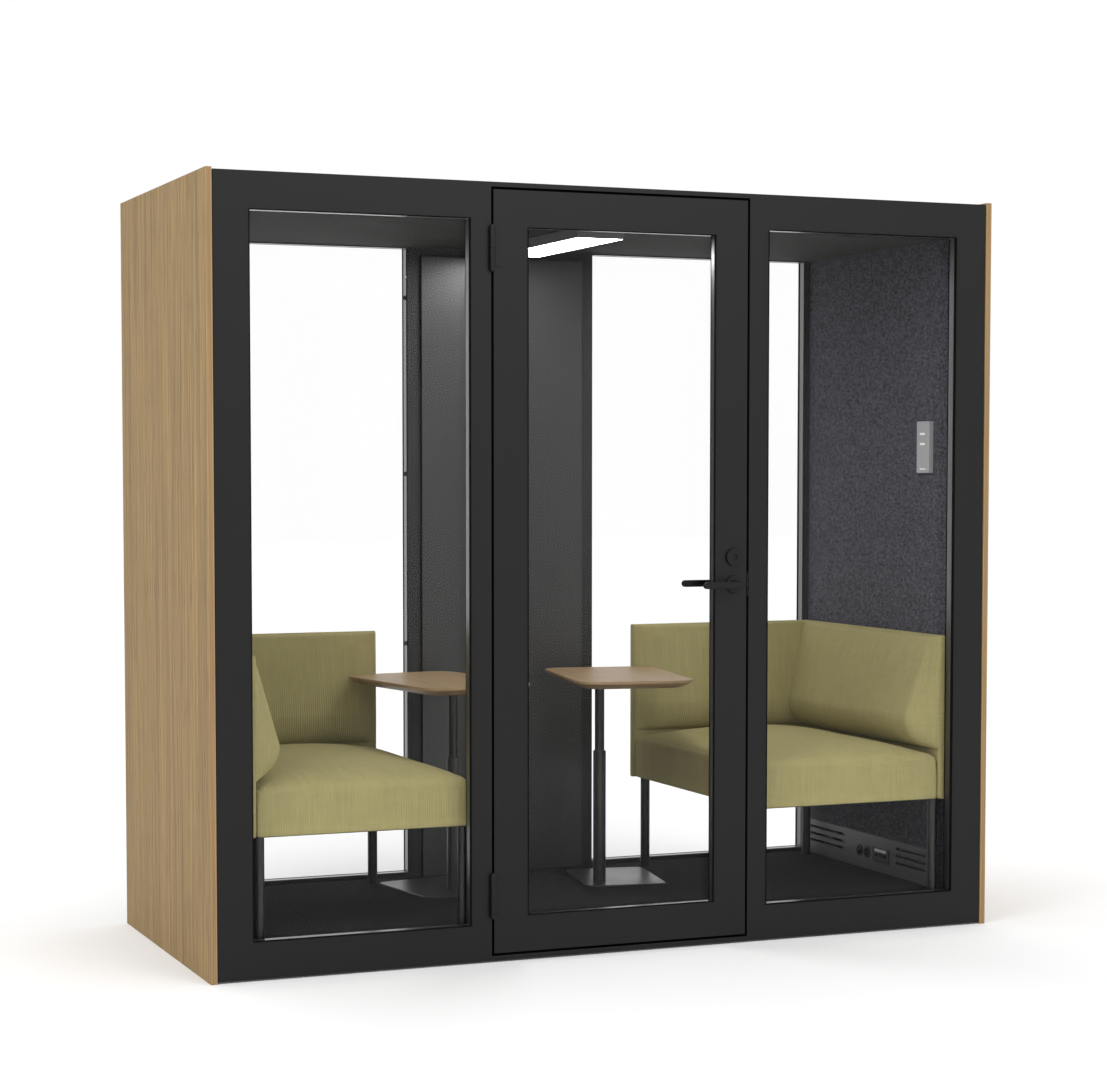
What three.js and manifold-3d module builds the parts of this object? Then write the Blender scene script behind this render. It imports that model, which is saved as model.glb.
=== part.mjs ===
// Acoustic office pod: a glazed two seat meeting booth with a hinged door, sofas and laptop tables.
// Millimetres, +Z up, +X to the right of someone who faces the door, +Y into the pod.
import * as THREE from 'three';
import { mergeVertices } from 'three/addons/utils/BufferGeometryUtils.js';
import Module from 'manifold-3d';

// Enclosure
const POD_WIDTH = 2440;
const POD_DEPTH = 1008;
const POD_HEIGHT = 2200;
const CLADDING = 18;
const SHADOW_GAP = 2;
const WALL_THICKNESS = 84;
const FRAME_SETBACK = 3;
const FRAME_DROP = 5;
const FRAME_DEPTH = 46;
const DECK_CLEARANCE = 25;
const FLOOR_HEIGHT = 97;
const CARPET = 6;
const ROOF_BUILD = 105;
const LINING_WIDTH = 550;
const LINING_HEAD_GAP = 27;
const LINING = 14;

// Windows
const WINDOW_MARGIN = 120;
const FRONT_PIER = 930;
const BACK_PIER = 636;
const SILL_HEIGHT = 108;
const WINDOW_HEAD = 107;
const GLASS = 8;
const GLASS_INSET = 1;
const GLASS_LAP = 12;
const GLASS_PLAY = 1;

// Levelling feet
const FOOT_RADIUS = 32;
const FOOT_PAD = 12;
const FOOT_STEM_RADIUS = 8;
const FOOT_STEM_GRIP = 30;
const FOOT_INSET = 90;

// Door
const DOOR_WIDTH = 793;
const DOOR_BOTTOM = 25.5;
const DOOR_HEAD = 25.5;
const DOOR_HEIGHT = POD_HEIGHT - DOOR_BOTTOM - DOOR_HEAD;
const DOOR_THICKNESS = 36;
const DOOR_BORDER = 103;
const DOOR_GAP = 7;
const CLEAR_WIDTH = 770;
const GASKET = 3.2;
const GASKET_WIDTH = 8;
const GASKET_INSET = 2;

// Hinges
const BARREL_RADIUS = 8;
const BARREL_LENGTH = 130;
const BARREL_TIP = 8;
const BARREL_STANDOFF = 1;
const PIN_RADIUS = 3;
const PIN_GRIP = 40;
const HINGE_LEAF = 2.5;
const HINGE_LEAF_HEIGHT = 100;
const HINGE_LEAF_WIDTH = 29;
const HINGE_LEAF_SET = 11;
const JAMB_LEAF_DEPTH = 33;
const HINGE_UPPER_DROP = 163.5;
const HINGE_LOWER_RISE = 165.5;

// Lever set and lock
const BACKSET = 41.5;
const LEVER_HEIGHT = 1060;
const LEVER_LENGTH = 124;
const LEVER_BAR_HEIGHT = 20;
const LEVER_BAR = 12;
const LEVER_STANDOFF = 55;
const NECK_RADIUS = 10;
const SPINDLE = 8;
const SPINDLE_GRIP = 24;
const ROSETTE_RADIUS = 26;
const ROSETTE_RIM = 2;
const ROSETTE = 8;
const LOCK_RISE = 79;
const LOCK_BORE = 6;
const KEYWAY_RADIUS = 8.5;
const KEYWAY_DEPTH = 4;
const TURN_COLLAR_RADIUS = 17;
const TURN_COLLAR = 9;
const TURN_WING = 18;
const TURN_WING_THICKNESS = 6;
const TURN_WING_INSET = 2;
const TURN_SHAFT_RADIUS = 5;
const LOCK_CASE_LENGTH = 80;
const LOCK_CASE_HEIGHT = 230;
const LOCK_CASE = 16;
const LOCK_FACEPLATE = 3;
const LOCK_FACEPLATE_MARGIN = 10;
const LOCK_FACEPLATE_WIDTH = 22;
const BOLT_LENGTH = 21;
const BOLT_HEIGHT = 16;
const BOLT_WIDTH = 11;
const BOLT_THROW = 6.5;
const BOLT_PLAY = 3;
const STRIKE = 2;
const STRIKE_WIDTH = 24;
const STRIKE_HEIGHT = 70;
const STRIKE_POCKET = 14;

// Ceiling light
const LIGHT_WIDTH = 150;
const LIGHT_LENGTH = 654;
const LIGHT_DEPTH = 30;
const LIGHT_RIM = 3;
const DIFFUSER = 5;
const LIGHT_FRONT = 166;

// Control unit on the right wall
const CONTROL_WIDTH = 74;
const CONTROL_HEIGHT = 160;
const CONTROL_DEPTH = 15;
const CONTROL_RADIUS = 4;
const CONTROL_BEVEL = 1.5;
const CONTROL_Y = 195;
const CONTROL_Z = 1464;
const BUTTON_WIDTH = 36;
const BUTTON_HEIGHT = 14;
const BUTTON_DEPTH = 5;
const BUTTON_PROUD = 1.2;
const BUTTON_TRAVEL = 1.5;
const BUTTON_UPPER_Z = 41;
const BUTTON_LOWER_Z = 10;

// Service panel low on the right wall
const GRILLE = 8;
const GRILLE_BACK_MARGIN = 25;
const GRILLE_HEIGHT = 115;
const GRILLE_FRONT = 158;
const SLOT_HEIGHT = 9;
const SLOT_PITCH = 23;
const SLOT_COUNT = 3;
const SLOT_END_MARGIN = 18;
const SLOT_FRONT_MARGIN = 10;
const FRONT_SLOT_LENGTH = 182;
const OUTLET_TO_SLOTS = 104;
const SLOT_RISE = 68;
const OUTLET_RISE = 54;
const SOCKET_RADIUS = 20;
const SOCKET_RIM = 2.5;
const SOCKET_WELL = 14;
const SOCKET_DEPTH = 26;
const SOCKET_REAR_Y = 580;
const SOCKET_FRONT_Y = 532;
const PIN_HOLE_RADIUS = 2.6;
const PIN_HOLE_SPREAD = 19;
const PIN_HOLE_DEPTH = 8;
const MODULE_WIDTH = 104;
const MODULE_HEIGHT = 48;
const MODULE_DEPTH = 30;
const MODULE_RIM = 4;
const MODULE_Y = 444;
const PORT_WIDTH = 18;
const PORT_HEIGHT = 9;
const PORT_DEPTH = 12;
const PLENUM_DEPTH = 52;
const PLENUM_MARGIN = 16;
const FAN_PLAY = 2;
const DUCT_WIDTH = 40;
const FAN_SIZE = 80;
const FAN_DEPTH = 25;
const FAN_BORE = 37;
const FAN_HUB = 16;
const FAN_MOTOR_PLATE = 5;
const FAN_STRUT = 4;
const FAN_SHAFT_RADIUS = 2.5;
const FAN_BLADES = 7;
const FAN_BLADE = 1.6;
const FAN_CHORD = 17;
const FAN_TIP_GAP = 1.2;

// Sofas
const SOFA_FRONT_GAP = 3;
const SOFA_BACK_GAP = 16;
const SOFA_WALL_GAP = 14;
const SOFA_WIDTH = 661;
const SOFA_SHIFT = 5;
const SOFA_PANEL = 25;
const SOFA_UNDERSIDE = 385;
const SOFA_TOP = 888;
const SEAT_EDGE = 528;
const SEAT_CROWN = 40;
const SEAT_ROUND = 24;
const SEAT_CORNER = 8;
const SEAT_DRAW = 2;
const BACK_PAD = { nose: 84, top: 10, fade: 70 };
const SIDE_PAD = { nose: 38, top: 8, fade: 100 };
const PAD_END = 0.1;
const PAD_NOSE_Z = 632;
const PAD_FOOT_Z = 540;
const PANEL_ROUND = 9;
const PAD_CROWN = 5;
const SOFA_LEG_RADIUS = 15;
const SOFA_LEG_OUTER_INSET = 35;
const SOFA_LEG_INNER_INSET = 28;
const SOFA_LEG_FRONT_INSET = 20;
const SOFA_LEG_BACK_INSET = 59;
const SOFA_RAIL = 8;
const SOFA_RAIL_WIDTH = 30;
const SOFA_RAIL_DROP = 2;

// Laptop tables
const TOP_WIDTH = 365;
const TOP_LENGTH = 575;
const TOP_THICKNESS = 25;
const TOP_CORNER = 65;
const TOP_BEVEL = 32;
const TOP_EDGE = 8;
const TOP_HEIGHT = 755;
const BASE_WIDTH = 260;
const BASE_LENGTH = 335;
const BASE_PLATE = 7;
const BASE_CORNER = 28;
const BASE_BEVEL = 2;
const COLUMN_OUTER_RADIUS = 20;
const COLUMN_INNER_RADIUS = 15;
const COLUMN_SPLIT = 515;
const COLUMN_REACH = 380;
const COLUMN_FLANGE = 60;
const COLUMN_FLANGE_THICKNESS = 4;
const TABLE_LEFT = { x: -285, fromBack: 319, turn: 9, side: -1, baseX: 15 };
const TABLE_RIGHT = { x: 198, fromBack: 337, turn: -10.5, side: 1, baseX: 66 };
const TOP_OFFSET = { x: 55, y: -5 };
const BASE_SET_BACK = 66;

// Working clearance round pieces that move, turn or are let into another
const CLEARANCE = 0.3;
const ROUND_STEPS = 20;

// Places that follow from the sizes above
const halfWidth = POD_WIDTH / 2;
const claddingFace = halfWidth - CLADDING;
const wallFace = claddingFace - WALL_THICKNESS;
const frameHalf = claddingFace - SHADOW_GAP;
const frameTop = POD_HEIGHT - FRAME_DROP;
const ceiling = POD_HEIGHT - ROOF_BUILD;
const windowHead = POD_HEIGHT - WINDOW_HEAD;
const liningTop = ceiling - LINING_HEAD_GAP;
const frontFace = FRAME_SETBACK;
const frontInner = frontFace + FRAME_DEPTH;
const backFace = POD_DEPTH - FRAME_SETBACK;
const backInner = backFace - FRAME_DEPTH;
const bayOuter = halfWidth - WINDOW_MARGIN;
const doorHalf = DOOR_WIDTH / 2;
const doorTop = DOOR_BOTTOM + DOOR_HEIGHT;
const doorInner = frontFace + DOOR_THICKNESS;
const doorMiddle = frontFace + DOOR_THICKNESS / 2;
const jamb = doorHalf + DOOR_GAP;
const stopFace = doorInner + CLEARANCE + GASKET;
const leverX = doorHalf - BACKSET;
const leverReach = LEVER_STANDOFF + LEVER_BAR / 2 - FRAME_SETBACK;
const lockZ = LEVER_HEIGHT + LOCK_RISE;
const hingeX = -(doorHalf + DOOR_GAP - 0.5);
const hingeY = frontFace - BARREL_STANDOFF - BARREL_RADIUS;
const panelFace = wallFace - GRILLE;
const grilleBottom = FLOOR_HEIGHT + 1;
const grilleLength = backInner - GRILLE_BACK_MARGIN - GRILLE_FRONT;
const rearSlots = [SOCKET_REAR_Y + OUTLET_TO_SLOTS, GRILLE_FRONT + grilleLength - SLOT_END_MARGIN];
const frontSlots = [GRILLE_FRONT + SLOT_FRONT_MARGIN, GRILLE_FRONT + SLOT_FRONT_MARGIN + FRONT_SLOT_LENGTH];
const slotMiddleZ = grilleBottom + SLOT_RISE;
const outletZ = grilleBottom + OUTLET_RISE;
const fanY = (rearSlots[0] + rearSlots[1]) / 2;
const sofaFront = frontInner + SOFA_FRONT_GAP;
const sofaBack = backInner - SOFA_BACK_GAP;
const sofaOuter = wallFace - SOFA_WALL_GAP;
const sofaInner = sofaOuter - SOFA_WIDTH;
const legOuter = sofaOuter - SOFA_LEG_OUTER_INSET;
const legInner = sofaInner + SOFA_LEG_INNER_INSET;
const legFront = sofaFront + SOFA_LEG_FRONT_INSET;
const legBack = sofaBack - SOFA_LEG_BACK_INSET;

// Finishes
const finish = (color, roughness, metalness = 0, extra = {}) =>
  new THREE.MeshStandardMaterial({ color, roughness, metalness, ...extra });
const OAK = finish(0xa08967, 0.6);
const BLACK_LACQUER = finish(0x2c2c2c, 0.45);
const CLEAR_GLASS = finish(0xe8efee, 0.05, 0, { transparent: true, opacity: 0.2 });
const FELT = finish(0x444348, 0.95);
const CARPET_PILE = finish(0x282828, 1);
const SATIN_PANEL = finish(0x353535, 0.35);
const BLACK_RUBBER = finish(0x141414, 0.9);
const BLACK_METAL = finish(0x161616, 0.35, 0.6);
const STEEL = finish(0x8c8c8c, 0.35, 1);
const LIGHT_SHELL = finish(0x8f8f8f, 0.5);
const DIFFUSER_WHITE = finish(0xffffff, 0.4, 0, { emissive: 0xffffff, emissiveIntensity: 1 });
const SILVER_PLASTIC = finish(0x969696, 0.45, 0.2);
const GRILLE_GREY = finish(0x4a4a4a, 0.5);
const BLACK_PLASTIC = finish(0x1a1a1a, 0.5);
const OLIVE_FABRIC = finish(0x8d8a5f, 0.9);
const TABLE_WOOD = finish(0x967a5a, 0.5);
const DECK_BOARD = finish(0x5a554c, 0.85);

const wasm = await Module();
wasm.setup();

// One closed skin: corners shared, collapsed triangles dropped
function weld(geometry) {
  const bare = geometry.clone();
  bare.deleteAttribute('normal');
  bare.deleteAttribute('uv');
  const merged = mergeVertices(bare, 1e-4);
  const corners = merged.index.array;
  const kept = [];
  for (let i = 0; i < corners.length; i += 3) {
    const [a, b, c] = [corners[i], corners[i + 1], corners[i + 2]];
    if (a !== b && b !== c && c !== a) kept.push(a, b, c);
  }
  merged.setIndex(kept);
  return merged;
}

function toSolid(geometry) {
  const skin = weld(geometry);
  return new wasm.Manifold(new wasm.Mesh({
    numProp: 3,
    vertProperties: new Float32Array(skin.attributes.position.array),
    triVerts: new Uint32Array(skin.index.array),
  }));
}

function toGeometry(solid) {
  const mesh = solid.getMesh();
  const geometry = new THREE.BufferGeometry();
  geometry.setAttribute('position', new THREE.BufferAttribute(new Float32Array(mesh.vertProperties), 3));
  geometry.setIndex(Array.from(mesh.triVerts));
  return geometry;
}

function join(...pieces) {
  return toGeometry(pieces.map(toSolid).reduce((whole, piece) => whole.add(piece)));
}

function cut(body, ...tools) {
  return toGeometry(tools.map(toSolid).reduce((whole, tool) => whole.subtract(tool), toSolid(body)));
}

// Box between two corners
function box([x0, x1], [y0, y1], [z0, z1]) {
  const geometry = new THREE.BoxGeometry(x1 - x0, y1 - y0, z1 - z0);
  return geometry.translate((x0 + x1) / 2, (y0 + y1) / 2, (z0 + z1) / 2);
}

// Turned solid about Z, Y or X: profile pairs are radius and height, from the bottom of the axis to its top
function turned(profile, axis, steps = ROUND_STEPS) {
  const geometry = new THREE.LatheGeometry(profile.map(([r, h]) => new THREE.Vector2(r, h)), steps);
  if (axis === 'z') geometry.rotateX(Math.PI / 2);
  if (axis === 'x') geometry.rotateZ(-Math.PI / 2);
  return geometry;
}

function rod(radius, from, to, axis, steps = ROUND_STEPS) {
  return turned([[0, from], [radius, from], [radius, to], [0, to]], axis, steps);
}

// Rod along Y at a place on the door
function doorBore(radius, x, z, y0, y1) {
  return rod(radius, y0, y1, 'y').translate(x, 0, z);
}

// Rounded rectangle as a ring of points, counted anticlockwise seen from above
function roundedRing(width, length, corner, z, steps = 6) {
  const ring = [];
  const quarters = [[1, -1], [1, 1], [-1, 1], [-1, -1]];
  quarters.forEach(([sx, sy], quarter) => {
    for (let step = 0; step <= steps; step += 1) {
      const angle = (quarter - 1 + step / steps) * Math.PI / 2;
      ring.push(new THREE.Vector3(
        sx * (width / 2 - corner) + corner * Math.cos(angle),
        sy * (length / 2 - corner) + corner * Math.sin(angle), z));
    }
  });
  return ring;
}

// Closed solid through convex rings from bottom to top, with fan caps
function loft(rings) {
  const count = rings[0].length;
  const points = rings.flat();
  const faces = [];
  for (let level = 0; level < rings.length - 1; level += 1) {
    for (let i = 0; i < count; i += 1) {
      const a = level * count + i;
      const b = level * count + (i + 1) % count;
      faces.push(a, b, b + count, a, b + count, a + count);
    }
  }
  const top = (rings.length - 1) * count;
  for (let i = 1; i < count - 1; i += 1) {
    faces.push(0, i + 1, i, top, top + i, top + i + 1);
  }
  const geometry = new THREE.BufferGeometry();
  geometry.setAttribute('position', new THREE.Float32BufferAttribute(points.flatMap((p) => p.toArray()), 3));
  geometry.setIndex(faces);
  return geometry;
}

// Block with a fine skin, each corner moved by shape(u, v, w) where u, v and w run from -1 to 1
function softBlock([nu, nv, nw], shape) {
  const geometry = new THREE.BoxGeometry(2, 2, 2, nu, nv, nw);
  const skin = weld(geometry);
  const position = skin.attributes.position;
  for (let i = 0; i < position.count; i += 1) {
    position.setXYZ(i, ...shape(position.getX(i), position.getY(i), position.getZ(i)));
  }
  return skin;
}

// Crowds evenly spaced rows towards both ends, so rounded edges get more of them
const crowd = (t) => Math.sin(t * Math.PI / 2);

// Pulls a point of a box of the given half sizes on to its rounded edges
function roundEdges(point, half, radius) {
  const core = point.map((p, i) => THREE.MathUtils.clamp(p, radius - half[i], half[i] - radius));
  const out = point.map((p, i) => p - core[i]);
  const reach = Math.hypot(...out);
  return reach === 0 ? point : core.map((c, i) => c + out[i] * radius / reach);
}

const pod = new THREE.Group();

function add(name, geometry, material, parent = pod) {
  const skin = weld(geometry);
  skin.computeVertexNormals();
  const mesh = new THREE.Mesh(skin, material);
  mesh.name = name;
  parent.add(mesh);
  return mesh;
}

const SIDES = [['left', -1], ['right', 1]];

// Interval on one side of the middle plane
const mirrored = (side, inner, outer) => (side < 0 ? [-outer, -inner] : [inner, outer]);

function buildEnclosure() {
  const room = [frontInner, backInner];
  for (const [label, side] of SIDES) {
    const cladding = box(mirrored(side, claddingFace, halfWidth), [0, POD_DEPTH], [0, POD_HEIGHT]);
    add(`side_panel_${label}`, cladding, OAK);
    const wall = box(mirrored(side, wallFace, claddingFace), room, [DECK_CLEARANCE, frameTop]);
    add(`wall_panel_${label}`, side > 0 ? cutServiceSpace(wall) : wall, FELT);
  }
  const deck = box([-wallFace, wallFace], room, [DECK_CLEARANCE, FLOOR_HEIGHT - CARPET]);
  const stemHoles = footPlaces().map(({ x, y }) => rod(FOOT_STEM_RADIUS + CLEARANCE,
    DECK_CLEARANCE - 1, DECK_CLEARANCE + FOOT_STEM_GRIP + CLEARANCE, 'z').translate(x, y, 0));
  add('floor_deck', cut(deck, ...stemHoles), DECK_BOARD);
  add('carpet', box([-wallFace, wallFace], room, [FLOOR_HEIGHT - CARPET, FLOOR_HEIGHT]), CARPET_PILE);
  add('roof_panel', box([-wallFace, wallFace], room, [ceiling, frameTop]), SATIN_PANEL);
  for (const { name, x, y } of footPlaces()) {
    const profile = [
      [0, 0], [FOOT_RADIUS, 0], [FOOT_RADIUS, FOOT_PAD / 2], [FOOT_STEM_RADIUS * 2, FOOT_PAD],
      [FOOT_STEM_RADIUS * 2, DECK_CLEARANCE], [FOOT_STEM_RADIUS, DECK_CLEARANCE],
      [FOOT_STEM_RADIUS, DECK_CLEARANCE + FOOT_STEM_GRIP], [0, DECK_CLEARANCE + FOOT_STEM_GRIP],
    ];
    add(name, turned(profile, 'z').translate(x, y, 0), BLACK_RUBBER);
  }
}

function footPlaces() {
  const places = [];
  for (const [label, side] of SIDES) {
    const x = side * (wallFace - FOOT_INSET);
    places.push({ name: `foot_front_${label}`, x, y: frontInner + FOOT_INSET });
    places.push({ name: `foot_back_${label}`, x, y: backInner - FOOT_INSET });
  }
  return places;
}

// Space behind the service panel: outlet boxes, fan and the duct down to the gap under the floor
function cutServiceSpace(wall) {
  const plenum = box([wallFace - 1, wallFace + PLENUM_DEPTH],
    [GRILLE_FRONT + PLENUM_MARGIN, GRILLE_FRONT + grilleLength - PLENUM_MARGIN],
    [slotMiddleZ - FAN_SIZE / 2 - FAN_PLAY, slotMiddleZ + FAN_SIZE / 2 + FAN_PLAY]);
  const duct = box([wallFace + PLENUM_DEPTH - DUCT_WIDTH / 2, wallFace + PLENUM_DEPTH],
    rearSlots, [DECK_CLEARANCE - 1, slotMiddleZ]);
  return cut(wall, plenum, duct);
}

// Front and back surrounds: through openings, and the rebates that hold glass and door
function buildFronts() {
  const rise = [FRAME_DROP, frameTop];
  const glassFront = [frontInner - GLASS_INSET - GLASS, frontInner - GLASS_INSET];
  const glassBack = [backInner + GLASS_INSET, backInner + GLASS_INSET + GLASS];
  const frontDepth = [frontFace - 1, frontInner + 1];
  const backDepth = [backInner - 1, backFace + 1];
  const grown = ([x0, x1], depth, by) => box([x0 - by, x1 + by], depth, [SILL_HEIGHT - by, windowHead + by]);
  const frontCuts = [];
  const backCuts = [];
  for (const [label, side] of SIDES) {
    const frontBay = mirrored(side, FRONT_PIER / 2, bayOuter);
    const backBay = mirrored(side, BACK_PIER / 2, bayOuter);
    frontCuts.push(grown(frontBay, frontDepth, 0));
    frontCuts.push(grown(frontBay, [glassFront[0], frontInner + 1], GLASS_LAP));
    backCuts.push(grown(backBay, backDepth, 0));
    backCuts.push(grown(backBay, [backInner - 1, glassBack[1]], GLASS_LAP));
    add(`front_glass_${label}`, grown(frontBay, glassFront, GLASS_LAP - GLASS_PLAY), CLEAR_GLASS);
    add(`back_glass_${label}`, grown(backBay, glassBack, GLASS_LAP - GLASS_PLAY), CLEAR_GLASS);
  }
  const clearWay = box([-CLEAR_WIDTH / 2, CLEAR_WIDTH / 2], frontDepth, [FLOOR_HEIGHT, ceiling]);
  const doorRebate = box([-jamb, jamb], [frontFace - 1, stopFace],
    [DOOR_BOTTOM - DOOR_GAP, doorTop + DOOR_GAP]);
  const strikeSeat = box([jamb - 1, jamb + STRIKE], strikeSpan(STRIKE_WIDTH), strikeRise(STRIKE_HEIGHT));
  const strikePocket = box([jamb, jamb + STRIKE + STRIKE_POCKET], ...boltHole());
  add('front_frame', cut(box([-frameHalf, frameHalf], [frontFace, frontInner], rise),
    ...frontCuts, clearWay, doorRebate, strikeSeat, strikePocket), BLACK_LACQUER);
  const backBoard = box([-frameHalf, frameHalf], [backInner, backFace], rise);
  add('back_frame', cut(backBoard, ...backCuts), BLACK_LACQUER);
  add('back_lining_panel', box([-LINING_WIDTH / 2, LINING_WIDTH / 2],
    [backInner - LINING, backInner], [FLOOR_HEIGHT, liningTop]), SATIN_PANEL);

  const sealRing = (inset, depth) => box([-doorHalf + inset, doorHalf - inset], depth,
    [DOOR_BOTTOM + inset, doorTop - inset]);
  const sealDepth = [stopFace - GASKET, stopFace];
  add('door_gasket', cut(sealRing(GASKET_INSET, sealDepth),
    sealRing(GASKET_INSET + GASKET_WIDTH, frontDepth)), BLACK_RUBBER);

  const plate = box([jamb, jamb + STRIKE], strikeSpan(STRIKE_WIDTH), strikeRise(STRIKE_HEIGHT));
  add('strike_plate', cut(plate, box([jamb - 1, jamb + STRIKE + 1], ...boltHole())), STEEL);
}

// Hole in the jamb that the bolt points at
const boltHole = () => [strikeSpan(BOLT_WIDTH + 2 * BOLT_PLAY), strikeRise(BOLT_HEIGHT + 2 * BOLT_PLAY)];
const strikeSpan = (width) => [doorMiddle - width / 2, doorMiddle + width / 2];
const strikeRise = (height) => [LEVER_HEIGHT - height / 2, LEVER_HEIGHT + height / 2];

function buildDoor() {
  const light = [doorHalf - DOOR_BORDER, DOOR_BOTTOM + DOOR_BORDER, doorTop - DOOR_BORDER];
  const glassFront = doorInner - GLASS_INSET - GLASS;
  const grown = (depth, by) => box([-light[0] - by, light[0] + by], depth, [light[1] - by, light[2] + by]);
  const through = [frontFace - 1, doorInner + 1];

  const caseSpan = (by) => [[doorHalf - LOCK_CASE_LENGTH - by, doorHalf + by],
    [doorMiddle - LOCK_CASE / 2 - by, doorMiddle + LOCK_CASE / 2 + by], lockRise(LOCK_CASE_HEIGHT / 2 + by)];
  const faceSpan = (by) => [[doorHalf - LOCK_FACEPLATE - by, doorHalf + by],
    [doorMiddle - LOCK_FACEPLATE_WIDTH / 2 - by, doorMiddle + LOCK_FACEPLATE_WIDTH / 2 + by],
    lockRise(LOCK_CASE_HEIGHT / 2 + LOCK_FACEPLATE_MARGIN + by)];
  const hubBore = (y0, y1) => doorBore(SPINDLE * 0.8, leverX, LEVER_HEIGHT, y0, y1);
  const turnBore = (y0, y1) => doorBore(LOCK_BORE, leverX, lockZ, y0, y1);

  const leaf = box([-doorHalf, doorHalf], [frontFace, doorInner], [DOOR_BOTTOM, doorTop]);
  add('door_leaf', cut(leaf, grown(through, 0), grown([glassFront, doorInner + 1], GLASS_LAP),
    box(...caseSpan(CLEARANCE)), box(...faceSpan(CLEARANCE)),
    hubBore(...through), turnBore(doorMiddle, doorInner + 1)), BLACK_LACQUER);
  add('door_glass', grown([glassFront, doorInner - GLASS_INSET], GLASS_LAP - GLASS_PLAY), CLEAR_GLASS);

  const channel = box([doorHalf - BOLT_LENGTH - BOLT_THROW, doorHalf + 1],
    strikeSpan(BOLT_WIDTH + 2 * CLEARANCE), strikeRise(BOLT_HEIGHT + 2 * CLEARANCE));
  add('lock_case', cut(join(box(...caseSpan(0)), box(...faceSpan(0))), channel,
    hubBore(...through), turnBore(...through)), STEEL);
  const boltTip = doorHalf + BOLT_THROW;
  const boltOutline = new THREE.Shape();
  const [b0, b1] = strikeSpan(BOLT_WIDTH);
  boltOutline.moveTo(boltTip - BOLT_LENGTH, b0);
  boltOutline.lineTo(boltTip, b0);
  boltOutline.lineTo(boltTip - BOLT_THROW + 1, b1);
  boltOutline.lineTo(boltTip - BOLT_LENGTH, b1);
  boltOutline.closePath();
  const bolt = new THREE.ExtrudeGeometry(boltOutline, { depth: BOLT_HEIGHT, bevelEnabled: false });
  add('latch_bolt', bolt.translate(0, 0, LEVER_HEIGHT - BOLT_HEIGHT / 2), STEEL);

  buildLeverSet();
  buildHinges();
}

// The case runs evenly above and below the middle of the lever and the lock
function lockRise(half) {
  const middle = LEVER_HEIGHT + LOCK_RISE / 2;
  return [middle - half, middle + half];
}

function buildLeverSet() {
  const faces = [['outer', frontFace, -1], ['inner', doorInner, 1]];
  for (const [label, face, away] of faces) {
    const span = (from, to) => (away > 0 ? [face + from, face + to] : [face - to, face - from]);
    const [r0, r1] = span(0, ROSETTE);
    const [n0, n1] = [NECK_RADIUS + CLEARANCE, ROSETTE_RADIUS];
    const ring = turned([[n0, r0], [n1, r0], [n1, r1], [n0, r1], [n0, r0]], 'y');
    add(`rosette_${label}`, chamferedRing(ring, away, face).translate(leverX, 0, LEVER_HEIGHT), BLACK_METAL);

    const barFace = LEVER_STANDOFF - LEVER_BAR / 2;
    const neck = doorBore(NECK_RADIUS, leverX, LEVER_HEIGHT, ...span(CLEARANCE, LEVER_STANDOFF));
    const socketHalf = SPINDLE / 2 + CLEARANCE;
    const socket = box([leverX - socketHalf, leverX + socketHalf],
      span(-1, SPINDLE_GRIP + CLEARANCE), [LEVER_HEIGHT - socketHalf, LEVER_HEIGHT + socketHalf]);
    add(`lever_${label}`, cut(join(neck, leverBar(span(barFace, barFace + LEVER_BAR))), socket), BLACK_METAL);
  }
  const half = SPINDLE / 2;
  add('spindle', box([leverX - half, leverX + half], [frontFace - SPINDLE_GRIP, doorInner + SPINDLE_GRIP],
    [LEVER_HEIGHT - half, LEVER_HEIGHT + half]), STEEL);

  const rose = rod(ROSETTE_RADIUS, frontFace - ROSETTE, frontFace, 'y').translate(leverX, 0, lockZ);
  const keyFace = frontFace - ROSETTE;
  const keyway = doorBore(KEYWAY_RADIUS, leverX, lockZ, keyFace - 1, keyFace + KEYWAY_DEPTH);
  add('lock_rosette', cut(rose, keyway), BLACK_METAL);

  const collarStart = doorInner + CLEARANCE;
  const collar = doorBore(TURN_COLLAR_RADIUS, leverX, lockZ, collarStart, collarStart + TURN_COLLAR);
  const shaft = doorBore(TURN_SHAFT_RADIUS, leverX, lockZ, doorMiddle + CLEARANCE, collarStart + 1);
  const wing = box([leverX - TURN_WING_THICKNESS / 2, leverX + TURN_WING_THICKNESS / 2],
    [collarStart + TURN_COLLAR - 1, collarStart + TURN_COLLAR + TURN_WING],
    [lockZ - TURN_COLLAR_RADIUS + TURN_WING_INSET, lockZ + TURN_COLLAR_RADIUS - TURN_WING_INSET]);
  add('thumb_turn', join(collar, shaft, wing), BLACK_METAL);
}

// Rosette with its outer rim turned down on the side away from the door
function chamferedRing(ring, away, face) {
  const front = face + away * ROSETTE;
  const [y0, y1] = away > 0 ? [front - ROSETTE_RIM, front + 1] : [front - 1, front + ROSETTE_RIM];
  const [wide, rim, narrow] = [ROSETTE_RADIUS + ROSETTE_RIM, ROSETTE_RADIUS, ROSETTE_RADIUS - ROSETTE_RIM];
  const outward = [[narrow, y1], [narrow, front], [rim, y0]];
  const inward = [[rim, y1], [narrow, front], [narrow, y0]];
  return cut(ring, turned([[wide, y0], [wide, y1], ...(away > 0 ? outward : inward), [wide, y0]], 'y'));
}

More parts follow.
